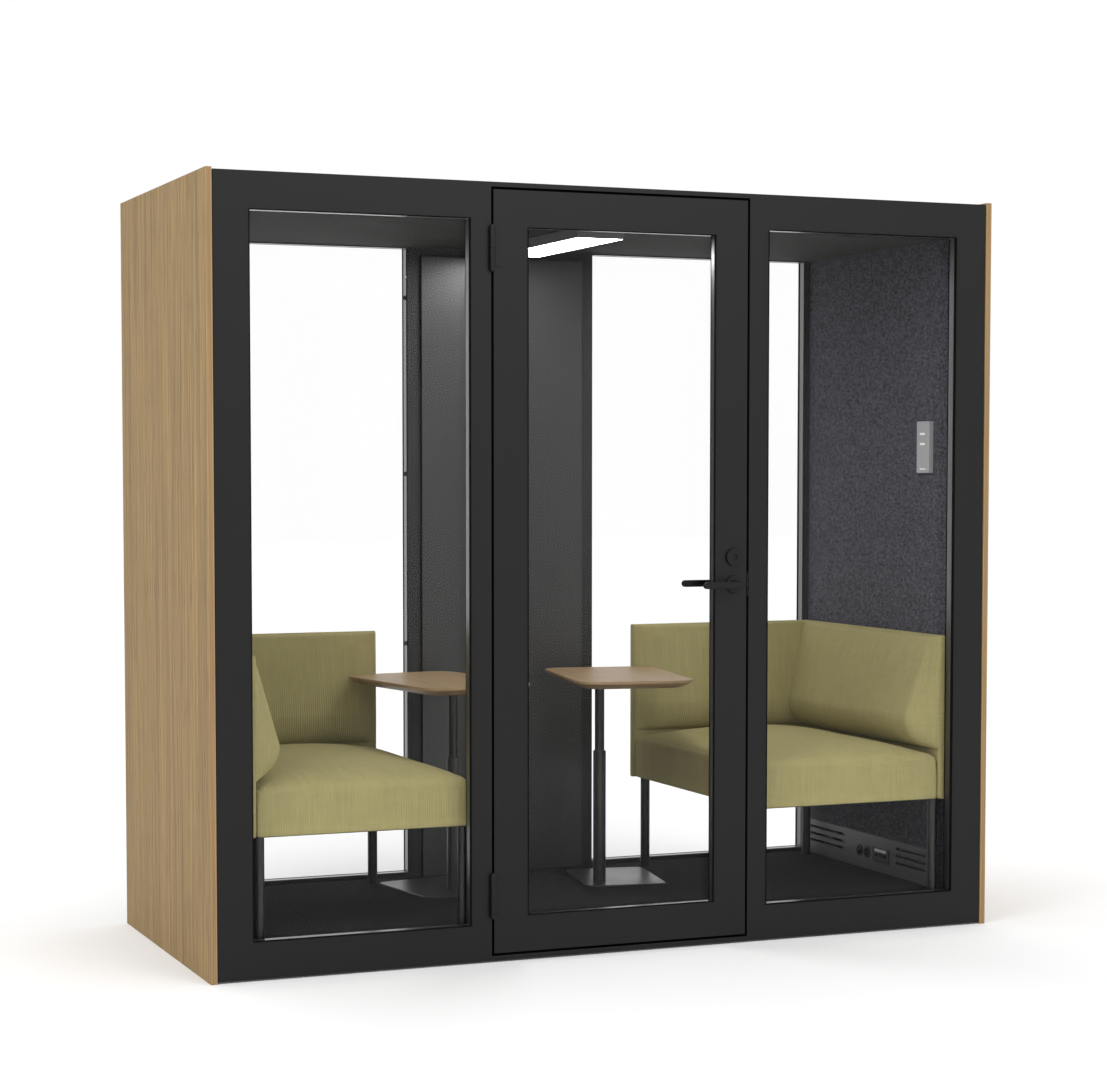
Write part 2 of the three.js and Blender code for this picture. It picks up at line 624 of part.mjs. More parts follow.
// Flat lever bar with a half round free end and a round shoulder on the neck
function leverBar([y0, y1]) {
  const half = LEVER_BAR_HEIGHT / 2;
  const outline = new THREE.Shape();
  outline.absarc(leverX, LEVER_HEIGHT, half, -Math.PI / 2, Math.PI / 2, false);
  outline.absarc(leverX - LEVER_LENGTH + half, LEVER_HEIGHT, half, Math.PI / 2, Math.PI * 1.5, false);
  outline.closePath();
  const bevel = 2.5;
  const geometry = new THREE.ExtrudeGeometry(outline, {
    depth: y1 - y0 - 2 * bevel, bevelEnabled: true, bevelSize: bevel, bevelThickness: bevel,
    bevelOffset: -bevel, bevelSegments: 1, curveSegments: 8,
  });
  return geometry.rotateX(Math.PI / 2).translate(0, y1 - bevel, 0);
}

// Barrel hinges: the lower half stands on the jamb and carries the pin, the upper half is on the door
function buildHinges() {
  const half = BARREL_LENGTH / 2;
  const tip = BARREL_RADIUS * 0.6;
  const heights = { upper: doorTop - HINGE_UPPER_DROP, lower: DOOR_BOTTOM + HINGE_LOWER_RISE };
  for (const [label, z] of Object.entries(heights)) {
    const at = (geometry) => geometry.translate(hingeX, hingeY, z);
    const lowerBarrel = at(turned([[0, -half], [tip, -half], [BARREL_RADIUS, -half + BARREL_TIP],
      [BARREL_RADIUS, -CLEARANCE], [PIN_RADIUS, -CLEARANCE], [PIN_RADIUS, PIN_GRIP], [0, PIN_GRIP]], 'z'));
    const leafLow = z - HINGE_LEAF_HEIGHT / 2;
    const jambLeaf = box([-jamb, -jamb + HINGE_LEAF], [hingeY, frontFace + JAMB_LEAF_DEPTH],
      [leafLow, z - CLEARANCE]);
    add(`hinge_${label}_frame`, join(lowerBarrel, jambLeaf), BLACK_METAL);

    const bore = PIN_RADIUS + CLEARANCE;
    const depth = PIN_GRIP + CLEARANCE;
    const upperBarrel = at(turned([[0, depth], [bore, depth], [bore, CLEARANCE], [BARREL_RADIUS, CLEARANCE],
      [BARREL_RADIUS, half - BARREL_TIP], [tip, half], [0, half]], 'z'));
    const faceLeaf = [frontFace - HINGE_LEAF, frontFace];
    const far = hingeX + HINGE_LEAF_WIDTH;
    const arm = box([hingeX + bore + 1, far], faceLeaf, [z + CLEARANCE, z + HINGE_LEAF_HEIGHT / 2]);
    const wing = box([hingeX + HINGE_LEAF_SET, far], faceLeaf, [leafLow, z + 1]);
    add(`hinge_${label}_door`, join(upperBarrel, arm, wing), BLACK_METAL);
  }
}

function buildLight() {
  const [x, y] = [[-LIGHT_WIDTH / 2, LIGHT_WIDTH / 2], [LIGHT_FRONT, LIGHT_FRONT + LIGHT_LENGTH]];
  const bottom = ceiling - LIGHT_DEPTH;
  const within = ([a, b], by) => [a + by, b - by];
  const recess = box(within(x, LIGHT_RIM), within(y, LIGHT_RIM), [bottom - 1, bottom + DIFFUSER]);
  add('led_housing', cut(box(x, y, [bottom, ceiling]), recess), LIGHT_SHELL);
  const lens = LIGHT_RIM + CLEARANCE;
  add('led_diffuser', box(within(x, lens), within(y, lens), [bottom, bottom + DIFFUSER]), DIFFUSER_WHITE);
}

function buildControl() {
  const face = wallFace - CONTROL_DEPTH;
  const body = loft([
    roundedRing(CONTROL_WIDTH, CONTROL_HEIGHT, CONTROL_RADIUS, 0),
    roundedRing(CONTROL_WIDTH, CONTROL_HEIGHT, CONTROL_RADIUS, CONTROL_DEPTH - CONTROL_BEVEL),
    roundedRing(CONTROL_WIDTH - 2 * CONTROL_BEVEL, CONTROL_HEIGHT - 2 * CONTROL_BEVEL,
      CONTROL_RADIUS - CONTROL_BEVEL, CONTROL_DEPTH),
  ]);
  const stand = new THREE.Matrix4().makeBasis(
    new THREE.Vector3(0, -1, 0), new THREE.Vector3(0, 0, 1), new THREE.Vector3(-1, 0, 0));
  body.applyMatrix4(stand).translate(wallFace, CONTROL_Y, CONTROL_Z);
  const pocket = (rise) => keySpan(rise, CLEARANCE,
    [face - 1, face - BUTTON_PROUD + BUTTON_DEPTH + BUTTON_TRAVEL + CLEARANCE]);
  const rises = [['upper', BUTTON_UPPER_Z], ['lower', BUTTON_LOWER_Z]];
  add('control_housing', cut(body, ...rises.map(([, rise]) => box(...pocket(rise)))), SILVER_PLASTIC);
  for (const [label, rise] of rises) {
    const key = keySpan(rise, 0, [face - BUTTON_PROUD, face - BUTTON_PROUD + BUTTON_DEPTH]);
    add(`control_button_${label}`, box(...key), SILVER_PLASTIC);
  }
}

const keySpan = (rise, by, x) => [x,
  [CONTROL_Y - BUTTON_WIDTH / 2 - by, CONTROL_Y + BUTTON_WIDTH / 2 + by],
  [CONTROL_Z + rise - BUTTON_HEIGHT / 2 - by, CONTROL_Z + rise + BUTTON_HEIGHT / 2 + by]];

function buildServicePanel() {
  const through = [panelFace - 1, wallFace + 1];
  const holes = [];
  for (const span of [rearSlots, frontSlots]) {
    for (let row = 0; row < SLOT_COUNT; row += 1) {
      const z = slotMiddleZ + (row - (SLOT_COUNT - 1) / 2) * SLOT_PITCH;
      holes.push(box(through, span, [z - SLOT_HEIGHT / 2, z + SLOT_HEIGHT / 2]));
    }
  }
  for (const y of [SOCKET_REAR_Y, SOCKET_FRONT_Y]) {
    holes.push(rod(SOCKET_RADIUS - SOCKET_RIM + CLEARANCE, ...through, 'x').translate(0, y, outletZ));
  }
  const moduleHalf = MODULE_WIDTH / 2 - MODULE_RIM + CLEARANCE;
  const moduleRise = MODULE_HEIGHT / 2 - MODULE_RIM + CLEARANCE;
  holes.push(box(through, [MODULE_Y - moduleHalf, MODULE_Y + moduleHalf],
    [outletZ - moduleRise, outletZ + moduleRise]));
  const panel = box([panelFace, wallFace], [GRILLE_FRONT, GRILLE_FRONT + grilleLength],
    [grilleBottom, grilleBottom + GRILLE_HEIGHT]);
  add('grille_panel', cut(panel, ...holes), GRILLE_GREY);

  for (const [label, y] of [['rear', SOCKET_REAR_Y], ['front', SOCKET_FRONT_Y]]) {
    add(`socket_${label}`, socketCup().translate(panelFace, y, outletZ), BLACK_PLASTIC);
  }
  add('data_module', dataModule(), BLACK_PLASTIC);
  buildFan();
}

// Round outlet: rim on the panel, cup through it, plug well with two pin holes
function socketCup() {
  const cup = SOCKET_RADIUS - SOCKET_RIM;
  const well = cup - 2;
  const wellOutline = [[0, SOCKET_WELL], [well, SOCKET_WELL], [well, -SOCKET_RIM]];
  const rimOutline = [[SOCKET_RADIUS, -SOCKET_RIM], [SOCKET_RADIUS, 0], [cup, 0]];
  const body = turned([...wellOutline, ...rimOutline, [cup, SOCKET_DEPTH], [0, SOCKET_DEPTH]], 'x');
  const holeSpan = [SOCKET_WELL - 1, SOCKET_WELL + PIN_HOLE_DEPTH];
  const holes = [-1, 1].map((side) => rod(PIN_HOLE_RADIUS, ...holeSpan, 'x', 12)
    .translate(0, side * PIN_HOLE_SPREAD / 2, 0));
  return cut(body, ...holes);
}

// Oblong outlet with a rim on the panel and a row of ports
function dataModule() {
  const [w, h] = [MODULE_WIDTH / 2, MODULE_HEIGHT / 2];
  const rim = box([panelFace - SOCKET_RIM, panelFace], [MODULE_Y - w, MODULE_Y + w],
    [outletZ - h, outletZ + h]);
  const body = box([panelFace - 1, panelFace + MODULE_DEPTH],
    [MODULE_Y - w + MODULE_RIM, MODULE_Y + w - MODULE_RIM],
    [outletZ - h + MODULE_RIM, outletZ + h - MODULE_RIM]);
  const ports = [-1, 0, 1].map((step) => {
    const y = MODULE_Y + step * PORT_WIDTH * 1.5;
    return box([panelFace - SOCKET_RIM - 1, panelFace + PORT_DEPTH],
      [y - PORT_WIDTH / 2, y + PORT_WIDTH / 2], [outletZ - PORT_HEIGHT / 2, outletZ + PORT_HEIGHT / 2]);
  });
  return cut(join(rim, body), ...ports);
}

// Axial fan on the back of the service panel: square frame, motor plate on struts, shaft and bladed rotor
function buildFan() {
  const back = wallFace + FAN_DEPTH;
  const plateFace = back - FAN_MOTOR_PLATE;
  const half = FAN_SIZE / 2;
  const frame = cut(box([wallFace, back], [-half, half], [-half, half]),
    rod(FAN_BORE, wallFace - 1, back + 1, 'x', 2 * ROUND_STEPS));
  const struts = [0, 1].map((turn) => box([plateFace, back], [-FAN_BORE - 1, FAN_BORE + 1],
    [-FAN_STRUT / 2, FAN_STRUT / 2]).rotateX(turn * Math.PI / 2));
  const motor = rod(FAN_HUB, plateFace, back, 'x');
  const shaft = rod(FAN_SHAFT_RADIUS, wallFace + FAN_DEPTH / 3, plateFace + 1, 'x', 12);
  const middle = (geometry) => geometry.translate(0, fanY, slotMiddleZ);
  add('fan_frame', middle(join(frame, ...struts, motor, shaft)), BLACK_PLASTIC);

  const front = wallFace + 2;
  const rear = plateFace - CLEARANCE;
  const socket = FAN_SHAFT_RADIUS + CLEARANCE;
  const floor = wallFace + FAN_DEPTH / 3 - CLEARANCE;
  const hubOutline = [[0, front], [FAN_HUB, front], [FAN_HUB, rear]];
  const hub = turned([...hubOutline, [socket, rear], [socket, floor], [0, floor]], 'x');
  const blades = [];
  for (let blade = 0; blade < FAN_BLADES; blade += 1) {
    blades.push(fanBlade(front + 1, rear - 1).rotateX(blade * Math.PI * 2 / FAN_BLADES));
  }
  add('fan_rotor', middle(join(hub, ...blades)), BLACK_PLASTIC);
}

// Twisted blade: a thin plate along Y whose pitch eases from root to tip
function fanBlade(front, rear) {
  const root = FAN_HUB - 2;
  const tip = FAN_BORE - FAN_TIP_GAP;
  const [middle, limit] = [(front + rear) / 2, (rear - front) / 2];
  return softBlock([1, 3, 2], (u, v, w) => {
    const t = (v + 1) / 2;
    const pitch = THREE.MathUtils.degToRad(THREE.MathUtils.lerp(48, 28, t));
    const along = w * FAN_CHORD / 2;
    const bow = (1 - w * w) * FAN_CHORD * 0.06;
    const across = u * FAN_BLADE / 2 + bow;
    const radius = THREE.MathUtils.lerp(root, tip, t);
    const depth = THREE.MathUtils.clamp(along * Math.sin(pitch) + across * Math.cos(pitch), -limit, limit);
    const angle = (along * Math.cos(pitch) - across * Math.sin(pitch)) / tip;
    return [middle + depth, radius * Math.cos(angle), radius * Math.sin(angle)];
  });
}

// Depth of a wedge pad in front of its panel: swells from the top to the nose and rounds back at its foot
function padDepth({ nose, top }, z) {
  if (z <= PAD_FOOT_Z) return 0;
  if (z < PAD_NOSE_Z) {
    const t = (PAD_NOSE_Z - z) / (PAD_NOSE_Z - PAD_FOOT_Z);
    return nose * Math.sqrt(1 - t * t);
  }
  return THREE.MathUtils.lerp(nose, top, (z - PAD_NOSE_Z) / (SOFA_TOP - PAD_NOSE_Z));
}

// Heights of the pad's rows: close together where the nose turns
function padRows() {
  const rows = [SOFA_UNDERSIDE, SOFA_UNDERSIDE + PANEL_ROUND, (SOFA_UNDERSIDE + PAD_FOOT_Z) / 2, PAD_FOOT_Z];
  for (let step = 1; step <= 5; step += 1) {
    const angle = step / 5 * Math.PI / 2;
    rows.push(PAD_NOSE_Z - (PAD_NOSE_Z - PAD_FOOT_Z) * Math.cos(angle));
  }
  for (const share of [0.3, 0.6, 0.85]) rows.push(THREE.MathUtils.lerp(PAD_NOSE_Z, SOFA_TOP, share));
  rows.push(SOFA_TOP - PANEL_ROUND, SOFA_TOP - PANEL_ROUND * 0.3, SOFA_TOP);
  return rows;
}

// Upholstered panel with its wedge pad, which swells from a thin free end to its full depth and runs on to
// the corner, where it is mitred against the panel with the other pad. Depth counts from the wall side;
// put(run length, depth, z) places each point.
function paddedPanel(pad, other, freeEnd, corner, put) {
  const rows = padRows();
  return softBlock([14, 4, rows.length - 1], (u, v, w) => {
    const z = rows[Math.round((w + 1) / 2 * (rows.length - 1))];
    const topEdge = (z - (SOFA_TOP - PANEL_ROUND)) / PANEL_ROUND;
    const footEdge = (SOFA_UNDERSIDE + PANEL_ROUND - z) / PANEL_ROUND;
    const draw = edgeDraw(Math.max(topEdge, footEdge));
    const t = (crowd(u) + 1) / 2;
    const full = padDepth(pad, z);
    const run = t * (corner - freeEnd);
    const swell = THREE.MathUtils.lerp(PAD_END, 1, Math.sin(Math.min(1, run / pad.fade) * Math.PI / 2));
    const crown = PAD_CROWN * (1 - crowd(u) ** 2) * full / pad.nose;
    const pinch = edgeDraw(1 - run / PANEL_ROUND);
    const face = SOFA_PANEL + (full + crown) * swell;
    const depth = THREE.MathUtils.lerp(draw, face - draw - pinch, (v + 1) / 2);
    const end = corner - depth * (SOFA_PANEL + padDepth(other, z)) / (SOFA_PANEL + full);
    return put(THREE.MathUtils.lerp(freeEnd, end, t), depth, z);
  });
}

// How far a rounded panel edge falls back, from 0 where the round starts to 1 at its end
function edgeDraw(share) {
  return PANEL_ROUND * (1 - Math.sqrt(1 - THREE.MathUtils.clamp(share, 0, 1) ** 2));
}

// The left sofa is the right one mirrored; both stand a little to the right of the mirrored places
function buildSofa(label, side) {
  const mitre = CLEARANCE;
  const stand = (geometry) => (side > 0 ? weld(geometry) : mirrorX(geometry)).translate(SOFA_SHIFT, 0, 0);

  // Seat: cushion with crisp upright corners and a soft top edge, crowned, its sides drawn in a little
  const rear = sofaBack - SOFA_PANEL - 2 * CLEARANCE;
  const outer = sofaOuter - SOFA_PANEL - 2 * CLEARANCE;
  const half = [(outer - sofaInner) / 2, (rear - sofaFront) / 2, (SEAT_EDGE - SOFA_UNDERSIDE) / 2];
  const middle = [(outer + sofaInner) / 2, (rear + sofaFront) / 2, (SEAT_EDGE + SOFA_UNDERSIDE) / 2];
  const seat = softBlock([12, 14, 6], (u, v, w) => {
    const [cu, cv, cw] = [crowd(u), crowd(v), crowd(w)];
    const radius = THREE.MathUtils.lerp(SEAT_CORNER, SEAT_ROUND, ((cw + 1) / 2) ** 4);
    const [x, y, z] = roundEdges([cu * half[0], cv * half[1], cw * half[2]], half, radius);
    const swell = (1 - cu ** 2) * (1 - cv ** 4);
    const lift = SEAT_CROWN * swell * Math.max(0, cw);
    const drawX = SEAT_DRAW * Math.sign(cu) * cu ** 4 * (1 - cw ** 2) * (1 - cv ** 2);
    const drawY = SEAT_DRAW * Math.sign(cv) * cv ** 4 * (1 - cw ** 2) * (1 - cu ** 2);
    return [middle[0] + x - drawX, middle[1] + y - drawY, middle[2] + z + lift];
  });
  add(`sofa_${label}_seat`, stand(cut(seat, legRail(CLEARANCE))), OLIVE_FABRIC);

  // Backrest on the side wall and panel along the back wall meet in a mitre
  const back = paddedPanel(BACK_PAD, SIDE_PAD, sofaFront, sofaBack - mitre,
    (run, depth, z) => [sofaOuter - depth, run, z]);
  add(`sofa_${label}_backrest`, stand(back), OLIVE_FABRIC);
  const sidePanel = paddedPanel(SIDE_PAD, BACK_PAD, sofaInner, sofaOuter - mitre,
    (run, depth, z) => [run, sofaBack - depth, z]);
  add(`sofa_${label}_side_panel`, stand(mirrorWinding(sidePanel)), OLIVE_FABRIC);

  // Welded leg frame: four tubes on a flat rail that is let into the seat
  const legs = [];
  for (const x of [legInner, legOuter]) {
    for (const y of [legFront, legBack]) {
      legs.push(rod(SOFA_LEG_RADIUS, FLOOR_HEIGHT, SOFA_UNDERSIDE - CLEARANCE, 'z', 16).translate(x, y, 0));
    }
  }
  add(`sofa_${label}_leg_frame`, stand(join(legRail(0), ...legs)), BLACK_METAL);
}

// Flat rail ring whose outer edge passes over the middles of the legs, grown by the given amount
function legRail(by) {
  const bottom = SOFA_UNDERSIDE - SOFA_RAIL_DROP;
  const ring = (inset, z) => box([legInner + inset, legOuter - inset],
    [legFront + inset, legBack - inset], z);
  return cut(ring(-by, [bottom - by, bottom + SOFA_RAIL + by]),
    ring(SOFA_RAIL_WIDTH + by, [bottom - 1, bottom + SOFA_RAIL + 1]));
}

function mirrorWinding(geometry) {
  const skin = weld(geometry);
  const corners = skin.index.array;
  for (let i = 0; i < corners.length; i += 3) [corners[i], corners[i + 1]] = [corners[i + 1], corners[i]];
  return skin;
}

function mirrorX(geometry) {
  return mirrorWinding(weld(geometry).scale(-1, 1, 1));
}

function buildTable(label, { x, fromBack, turn, side, baseX }) {
  const stand = new THREE.Group();
  stand.position.set(x, backInner - fromBack, 0);
  stand.rotation.z = THREE.MathUtils.degToRad(turn);
  pod.add(stand);

  const plate = loft([
    roundedRing(BASE_WIDTH, BASE_LENGTH, BASE_CORNER, FLOOR_HEIGHT),
    roundedRing(BASE_WIDTH, BASE_LENGTH, BASE_CORNER, FLOOR_HEIGHT + BASE_PLATE - BASE_BEVEL),
    roundedRing(BASE_WIDTH - 2 * BASE_BEVEL, BASE_LENGTH - 2 * BASE_BEVEL, BASE_CORNER - BASE_BEVEL,
      FLOOR_HEIGHT + BASE_PLATE),
  ]).translate(side * baseX, BASE_SET_BACK, 0);
  const bore = COLUMN_INNER_RADIUS + CLEARANCE;
  const columnFoot = COLUMN_SPLIT - COLUMN_REACH;
  const tube = turned([[0, FLOOR_HEIGHT + 1], [COLUMN_OUTER_RADIUS, FLOOR_HEIGHT + 1],
    [COLUMN_OUTER_RADIUS, COLUMN_SPLIT - 2], [COLUMN_OUTER_RADIUS - 2, COLUMN_SPLIT],
    [bore, COLUMN_SPLIT], [bore, columnFoot - CLEARANCE], [0, columnFoot - CLEARANCE]], 'z');
  add(`table_${label}_base`, join(plate, tube), BLACK_METAL, stand);

  const underside = TOP_HEIGHT - TOP_THICKNESS;
  const column = rod(COLUMN_INNER_RADIUS, columnFoot, underside - CLEARANCE, 'z');
  const flangeTop = underside - CLEARANCE;
  const flange = rod(COLUMN_FLANGE, flangeTop - COLUMN_FLANGE_THICKNESS, flangeTop, 'z');
  add(`table_${label}_column`, join(column, flange), BLACK_METAL, stand);

  const ring = (inset, z) => roundedRing(TOP_WIDTH - 2 * inset, TOP_LENGTH - 2 * inset,
    TOP_CORNER - inset / 2, z);
  const top = loft([ring(TOP_BEVEL, underside), ring(0, TOP_HEIGHT - TOP_EDGE), ring(0, TOP_HEIGHT - 1),
    ring(1, TOP_HEIGHT)]).translate(side * TOP_OFFSET.x, TOP_OFFSET.y, 0);
  add(`table_${label}_top`, top, TABLE_WOOD, stand);
}

buildEnclosure();
buildFronts();
buildDoor();
buildLight();
buildControl();
buildServicePanel();
for (const [label, side] of SIDES) buildSofa(label, side);
buildTable('left', TABLE_LEFT);
buildTable('right', TABLE_RIGHT);

// The origin is on the floor under the middle of the whole box, the outer lever counted in its depth
pod.position.y = -(POD_DEPTH - leverReach) / 2;

export default pod;
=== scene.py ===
"""Acoustic office pod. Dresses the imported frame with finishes, glazing trim and upholstery, in metres."""

import math
from typing import NamedTuple

import bmesh
import bpy
import numpy as np
from bpy.props import FloatProperty, FloatVectorProperty, IntProperty, PointerProperty
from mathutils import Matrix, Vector


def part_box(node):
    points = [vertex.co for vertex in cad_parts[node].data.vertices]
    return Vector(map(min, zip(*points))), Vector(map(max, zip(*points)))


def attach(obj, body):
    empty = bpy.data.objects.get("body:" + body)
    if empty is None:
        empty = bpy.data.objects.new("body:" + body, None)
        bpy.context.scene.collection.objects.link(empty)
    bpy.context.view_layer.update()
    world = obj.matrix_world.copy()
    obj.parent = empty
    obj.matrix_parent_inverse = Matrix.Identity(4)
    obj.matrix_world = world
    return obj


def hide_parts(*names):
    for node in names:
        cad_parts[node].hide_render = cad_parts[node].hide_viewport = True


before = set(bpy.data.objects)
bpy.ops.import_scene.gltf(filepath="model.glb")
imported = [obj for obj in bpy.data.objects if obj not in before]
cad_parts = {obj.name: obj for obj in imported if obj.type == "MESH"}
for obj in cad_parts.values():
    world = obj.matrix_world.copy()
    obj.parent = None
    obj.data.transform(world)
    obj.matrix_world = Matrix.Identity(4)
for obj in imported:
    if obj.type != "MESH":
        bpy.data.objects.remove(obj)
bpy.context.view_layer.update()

bl_info = {
    "name": "Acoustic Office Pod",
    "version": (1, 0, 0),
    "blender": (4, 5, 0),
    "location": "3D View > Sidebar > Pod",
    "description": "Dresses the frame of an acoustic office pod and sets it in a plain studio",
    "category": "Object",
}

MM = 0.001
SIDES = (("left", -1), ("right", 1))

# Sharp edges of trim, eased edges, joined points, and faces that look squarely along an axis

CREASE = math.radians(30.0)
EASED = math.radians(40.0)
JOINED = 0.00002
SQUARE_ON = 0.7

# Places and sizes on the frame, in metres

CLADDING = (1.202, 1.220)
DIFFUSER_HALF = 0.075
BAY_HEIGHTS = (0.108, 2.093)
BAY_OUTER = 1.1
FRONT_BAY = {"inner": 0.465, "face": -0.435, "depth": -0.0395}
BACK_BAY = {"inner": 0.318, "face": 0.493, "depth": 0.0395}
DOOR_LIGHT = {"window": ((-0.2935, 0.2935), (0.1285, 2.0715)), "face": -0.445, "depth": -0.0295}
CHANNEL_SHARE = 0.66
TAPE = {"behind": 0.0082, "thick": 0.0006}
BUTTONS = {"y": 0.505, "heights": (1.937, 1.381, 0.842, 0.310)}
LOCK_LINE = -0.454
LOCK_SCREWS = (("strike_screws", "pod", -1, 0.4035, (1.034, 1.086)),
               ("lock_screws", "door", 1, 0.3965, (0.983, 1.216)))
LOCK_SCREW_RISE = 0.001
PANEL_SCREW = {"inset": 0.009, "rise": 0.0012}
BUTTON_MARK = {"half_width": 0.015, "half_height": 0.0035, "proud": 0.0004, "sunk": 0.0002}
CONTROL_LINE = {"margin": 0.02, "low": 0.0105, "high": 0.0145, "half_depth": 0.0003}
SHUTTER = {"margin": 0.016, "low": 0.0125, "high": 0.0035, "proud": 0.0012, "sunk": 0.0002}
TILE_ARRIS = 0.0002

# Turns of the table tops about Z, in degrees

TABLE_TURNS = (("left", 9.0), ("right", -10.5))

# Studio, in metres and radians

KEY_LAMP = {"size": 4.0, "place": (1.6, -6.0, 4.9), "aim": (0.0, 0.0, 0.9)}
SIDE_LAMP = {"size": 3.0, "place": (-4.6, -3.4, 4.4), "aim": (-1.2, 0.0, 0.6)}
FLOOR = {"reach": 40.0, "middle": (0.0, -1.0, 0.0), "near": 1.0, "far": 2.8, "near_share": 0.2}
VIEW = {"place": (-2.9295, -7.011, 1.391), "yaw": 0.3901, "pitch": 0.0562, "shift": (0.00746, 0.06445),
        "sensor": 36.0, "end": 200.0}


def shade(name, description, red, green, blue):
    """Colour property, written as it looks on screen in steps of 255."""
    return FloatVectorProperty(name=name, description=description, size=3, min=0.0, max=1.0,
                               subtype="COLOR_GAMMA", default=(red / 255, green / 255, blue / 255))


def length(name, description, millimetres):
    """Length property, written in millimetres."""
    return FloatProperty(name=name, description=description, default=millimetres * MM, min=0.0,
                         unit="LENGTH", precision=4)


class PodFinishes(bpy.types.PropertyGroup):
    """Colours of the pod's finishes."""

    oak: shade("Oak", "Veneer of the side cladding", 148, 124, 84)
    oak_edge: shade("Oak edge", "Lipping on the cladding's edges", 154, 128, 93)
    lacquer: shade("Lacquer", "Satin black of the front surround and the door", 18, 18, 18)
    # Painted light: the back surround has the same black lacquer as the front; this lighter grey stands in
    # for more light on it.
    back: shade("Back", "Satin charcoal of the back surround", 47, 47, 47)
    felt: shade("Felt", "Acoustic felt on the side walls", 56, 55, 63)
    carpet: shade("Carpet", "Loop pile on the floor", 50, 50, 50)
    panel: shade("Panel", "Satin back lining", 48, 48, 48)
    ceiling: shade("Ceiling", "Matt ceiling", 57, 57, 57)
    shell: shade("Shell", "Housing of the ceiling light", 96, 96, 96)
    channel: shade("Channel", "Anodised glazing channels", 34, 34, 34)
    metal: shade("Metal", "Powder coat of the legs, columns and lever set", 18, 18, 18)
    plate: shade("Plate", "Powder coat of the table base plates", 40, 40, 40)
    silver: shade("Silver", "Control unit", 158, 158, 160)
    mark: shade("Mark", "Pale marks on the control unit and the shutter of the ports", 236, 236, 236)
    grille: shade("Grille", "Service panel", 70, 70, 70)
    plastic: shade("Plastic", "Outlets and fan", 14, 14, 14)
    steel: shade("Steel", "Latch, lock case, strike and spindle", 150, 150, 150)
    rubber: shade("Rubber", "Feet, seals and glazing beads", 24, 24, 24)
    fabric: shade("Fabric", "Ribbed upholstery", 156, 147, 101)
    table: shade("Table", "Wood of the table tops", 166, 138, 103)
    board: shade("Board", "Raw floor deck", 92, 88, 80)


class PodUpholstery(bpy.types.PropertyGroup):
    """How the sofas are padded and covered."""

    pressure: FloatProperty(name="Pressure", description="Filling pressure of the cushions", default=4.0)
    steps: IntProperty(name="Steps", description="Steps that the filling takes", default=20, min=1)
    swell: length("Swell", "Furthest that the cover may move out", 6)
    inset: length("Inset", "How much smaller the cushions start", 5)
    rib: length("Rib", "Width of one rib of the weave", 7.0)
    weft: length("Weft", "Width of one cross thread of the weave", 5.6)
    fill: FloatProperty(name="Fill", description="Firmness of the padding", default=0.85, min=0.0, max=1.0)


class PodTrim(bpy.types.PropertyGroup):
    """Sizes of the small trim."""

    channel: length("Channel", "Thickness of the glazing channel round each pane", 1.6)
    lap: length("Lap", "Width of the tape over each pane's inner edge", 11.8)
    button: length("Button", "Radius of the glazing buttons", 7)
    button_height: length("Button height", "How far a glazing button stands out", 5)
    screw: length("Screw", "Radius of the screw heads", 3.4)
    arris: length("Arris", "Softening of the rigid edges", 0.8)


class PodStudio(bpy.types.PropertyGroup):
    """Camera and light."""

    lens: FloatProperty(name="Lens", description="Focal length on a 36 mm sensor", default=81.24,
                        unit="CAMERA")
    sky: FloatProperty(name="Sky", description="Strength of the even light from all round", default=0.92)
    key: FloatProperty(name="Key", description="Lamp in front, high up to the right", default=110.0,
                       unit="POWER")
    side: FloatProperty(name="Side", description="Lamp high up to the left", default=85.0, unit="POWER")
    luminaire: FloatProperty(name="Luminaire", description="Brightness of the ceiling light", default=27.0)
    floor: shade("Floor", "Studio floor", 244, 244, 244)
    lift: FloatProperty(name="Lift", description="How much whiter the camera sees the far floor", default=0.2)


class Coat(NamedTuple):
    """Sprayed or moulded finish: which colour, its roughness and how far that strays, flecks to a metre,
    relief in metres, gloss, and contrast of the flecks."""

    color: str
    rough: float
    spread: float
    fleck: float
    depth: float
    specular: float = 0.5
    contrast: float = 0.12


COATS = {
    "black_lacquer": Coat("lacquer", 0.44, 0.03, 420.0, 0.00004, specular=0.25),
    # Painted light: the front's black lacquer made lighter for the back surround, standing in for more light
    # on it.
    "charcoal_lacquer": Coat("back", 0.44, 0.03, 420.0, 0.00004, specular=0.25),
    "black_rubber": Coat("rubber", 0.55, 0.06, 900.0, 0.0001, specular=0.4),
    "bead_rubber": Coat("plastic", 0.9, 0.05, 900.0, 0.0001, specular=0.05),
    "satin_panel": Coat("panel", 0.36, 0.05, 300.0, 0.00008),
    "ceiling": Coat("ceiling", 0.8, 0.06, 260.0, 0.0003, specular=0.12),
    "deck_board": Coat("board", 0.8, 0.08, 160.0, 0.0004, contrast=0.3),
    "black_metal": Coat("metal", 0.42, 0.05, 700.0, 0.00008, specular=0.22),
    "light_shell": Coat("shell", 0.5, 0.05, 500.0, 0.00006),
    "silver_plastic": Coat("silver", 0.42, 0.05, 900.0, 0.00006),
    "control_mark": Coat("mark", 0.5, 0.05, 900.0, 0.00002, contrast=0.03),
    "grille_grey": Coat("grille", 0.42, 0.05, 600.0, 0.00008),
    "black_plastic": Coat("plastic", 0.5, 0.05, 900.0, 0.0001),
    "port_shutter": Coat("mark", 0.4, 0.05, 900.0, 0.00002, contrast=0.05),
    "leg_metal": Coat("metal", 0.4, 0.05, 700.0, 0.00008),
    "table_metal": Coat("metal", 0.36, 0.05, 700.0, 0.00008),
    "plate_metal": Coat("plate", 0.34, 0.05, 500.0, 0.00008),
}


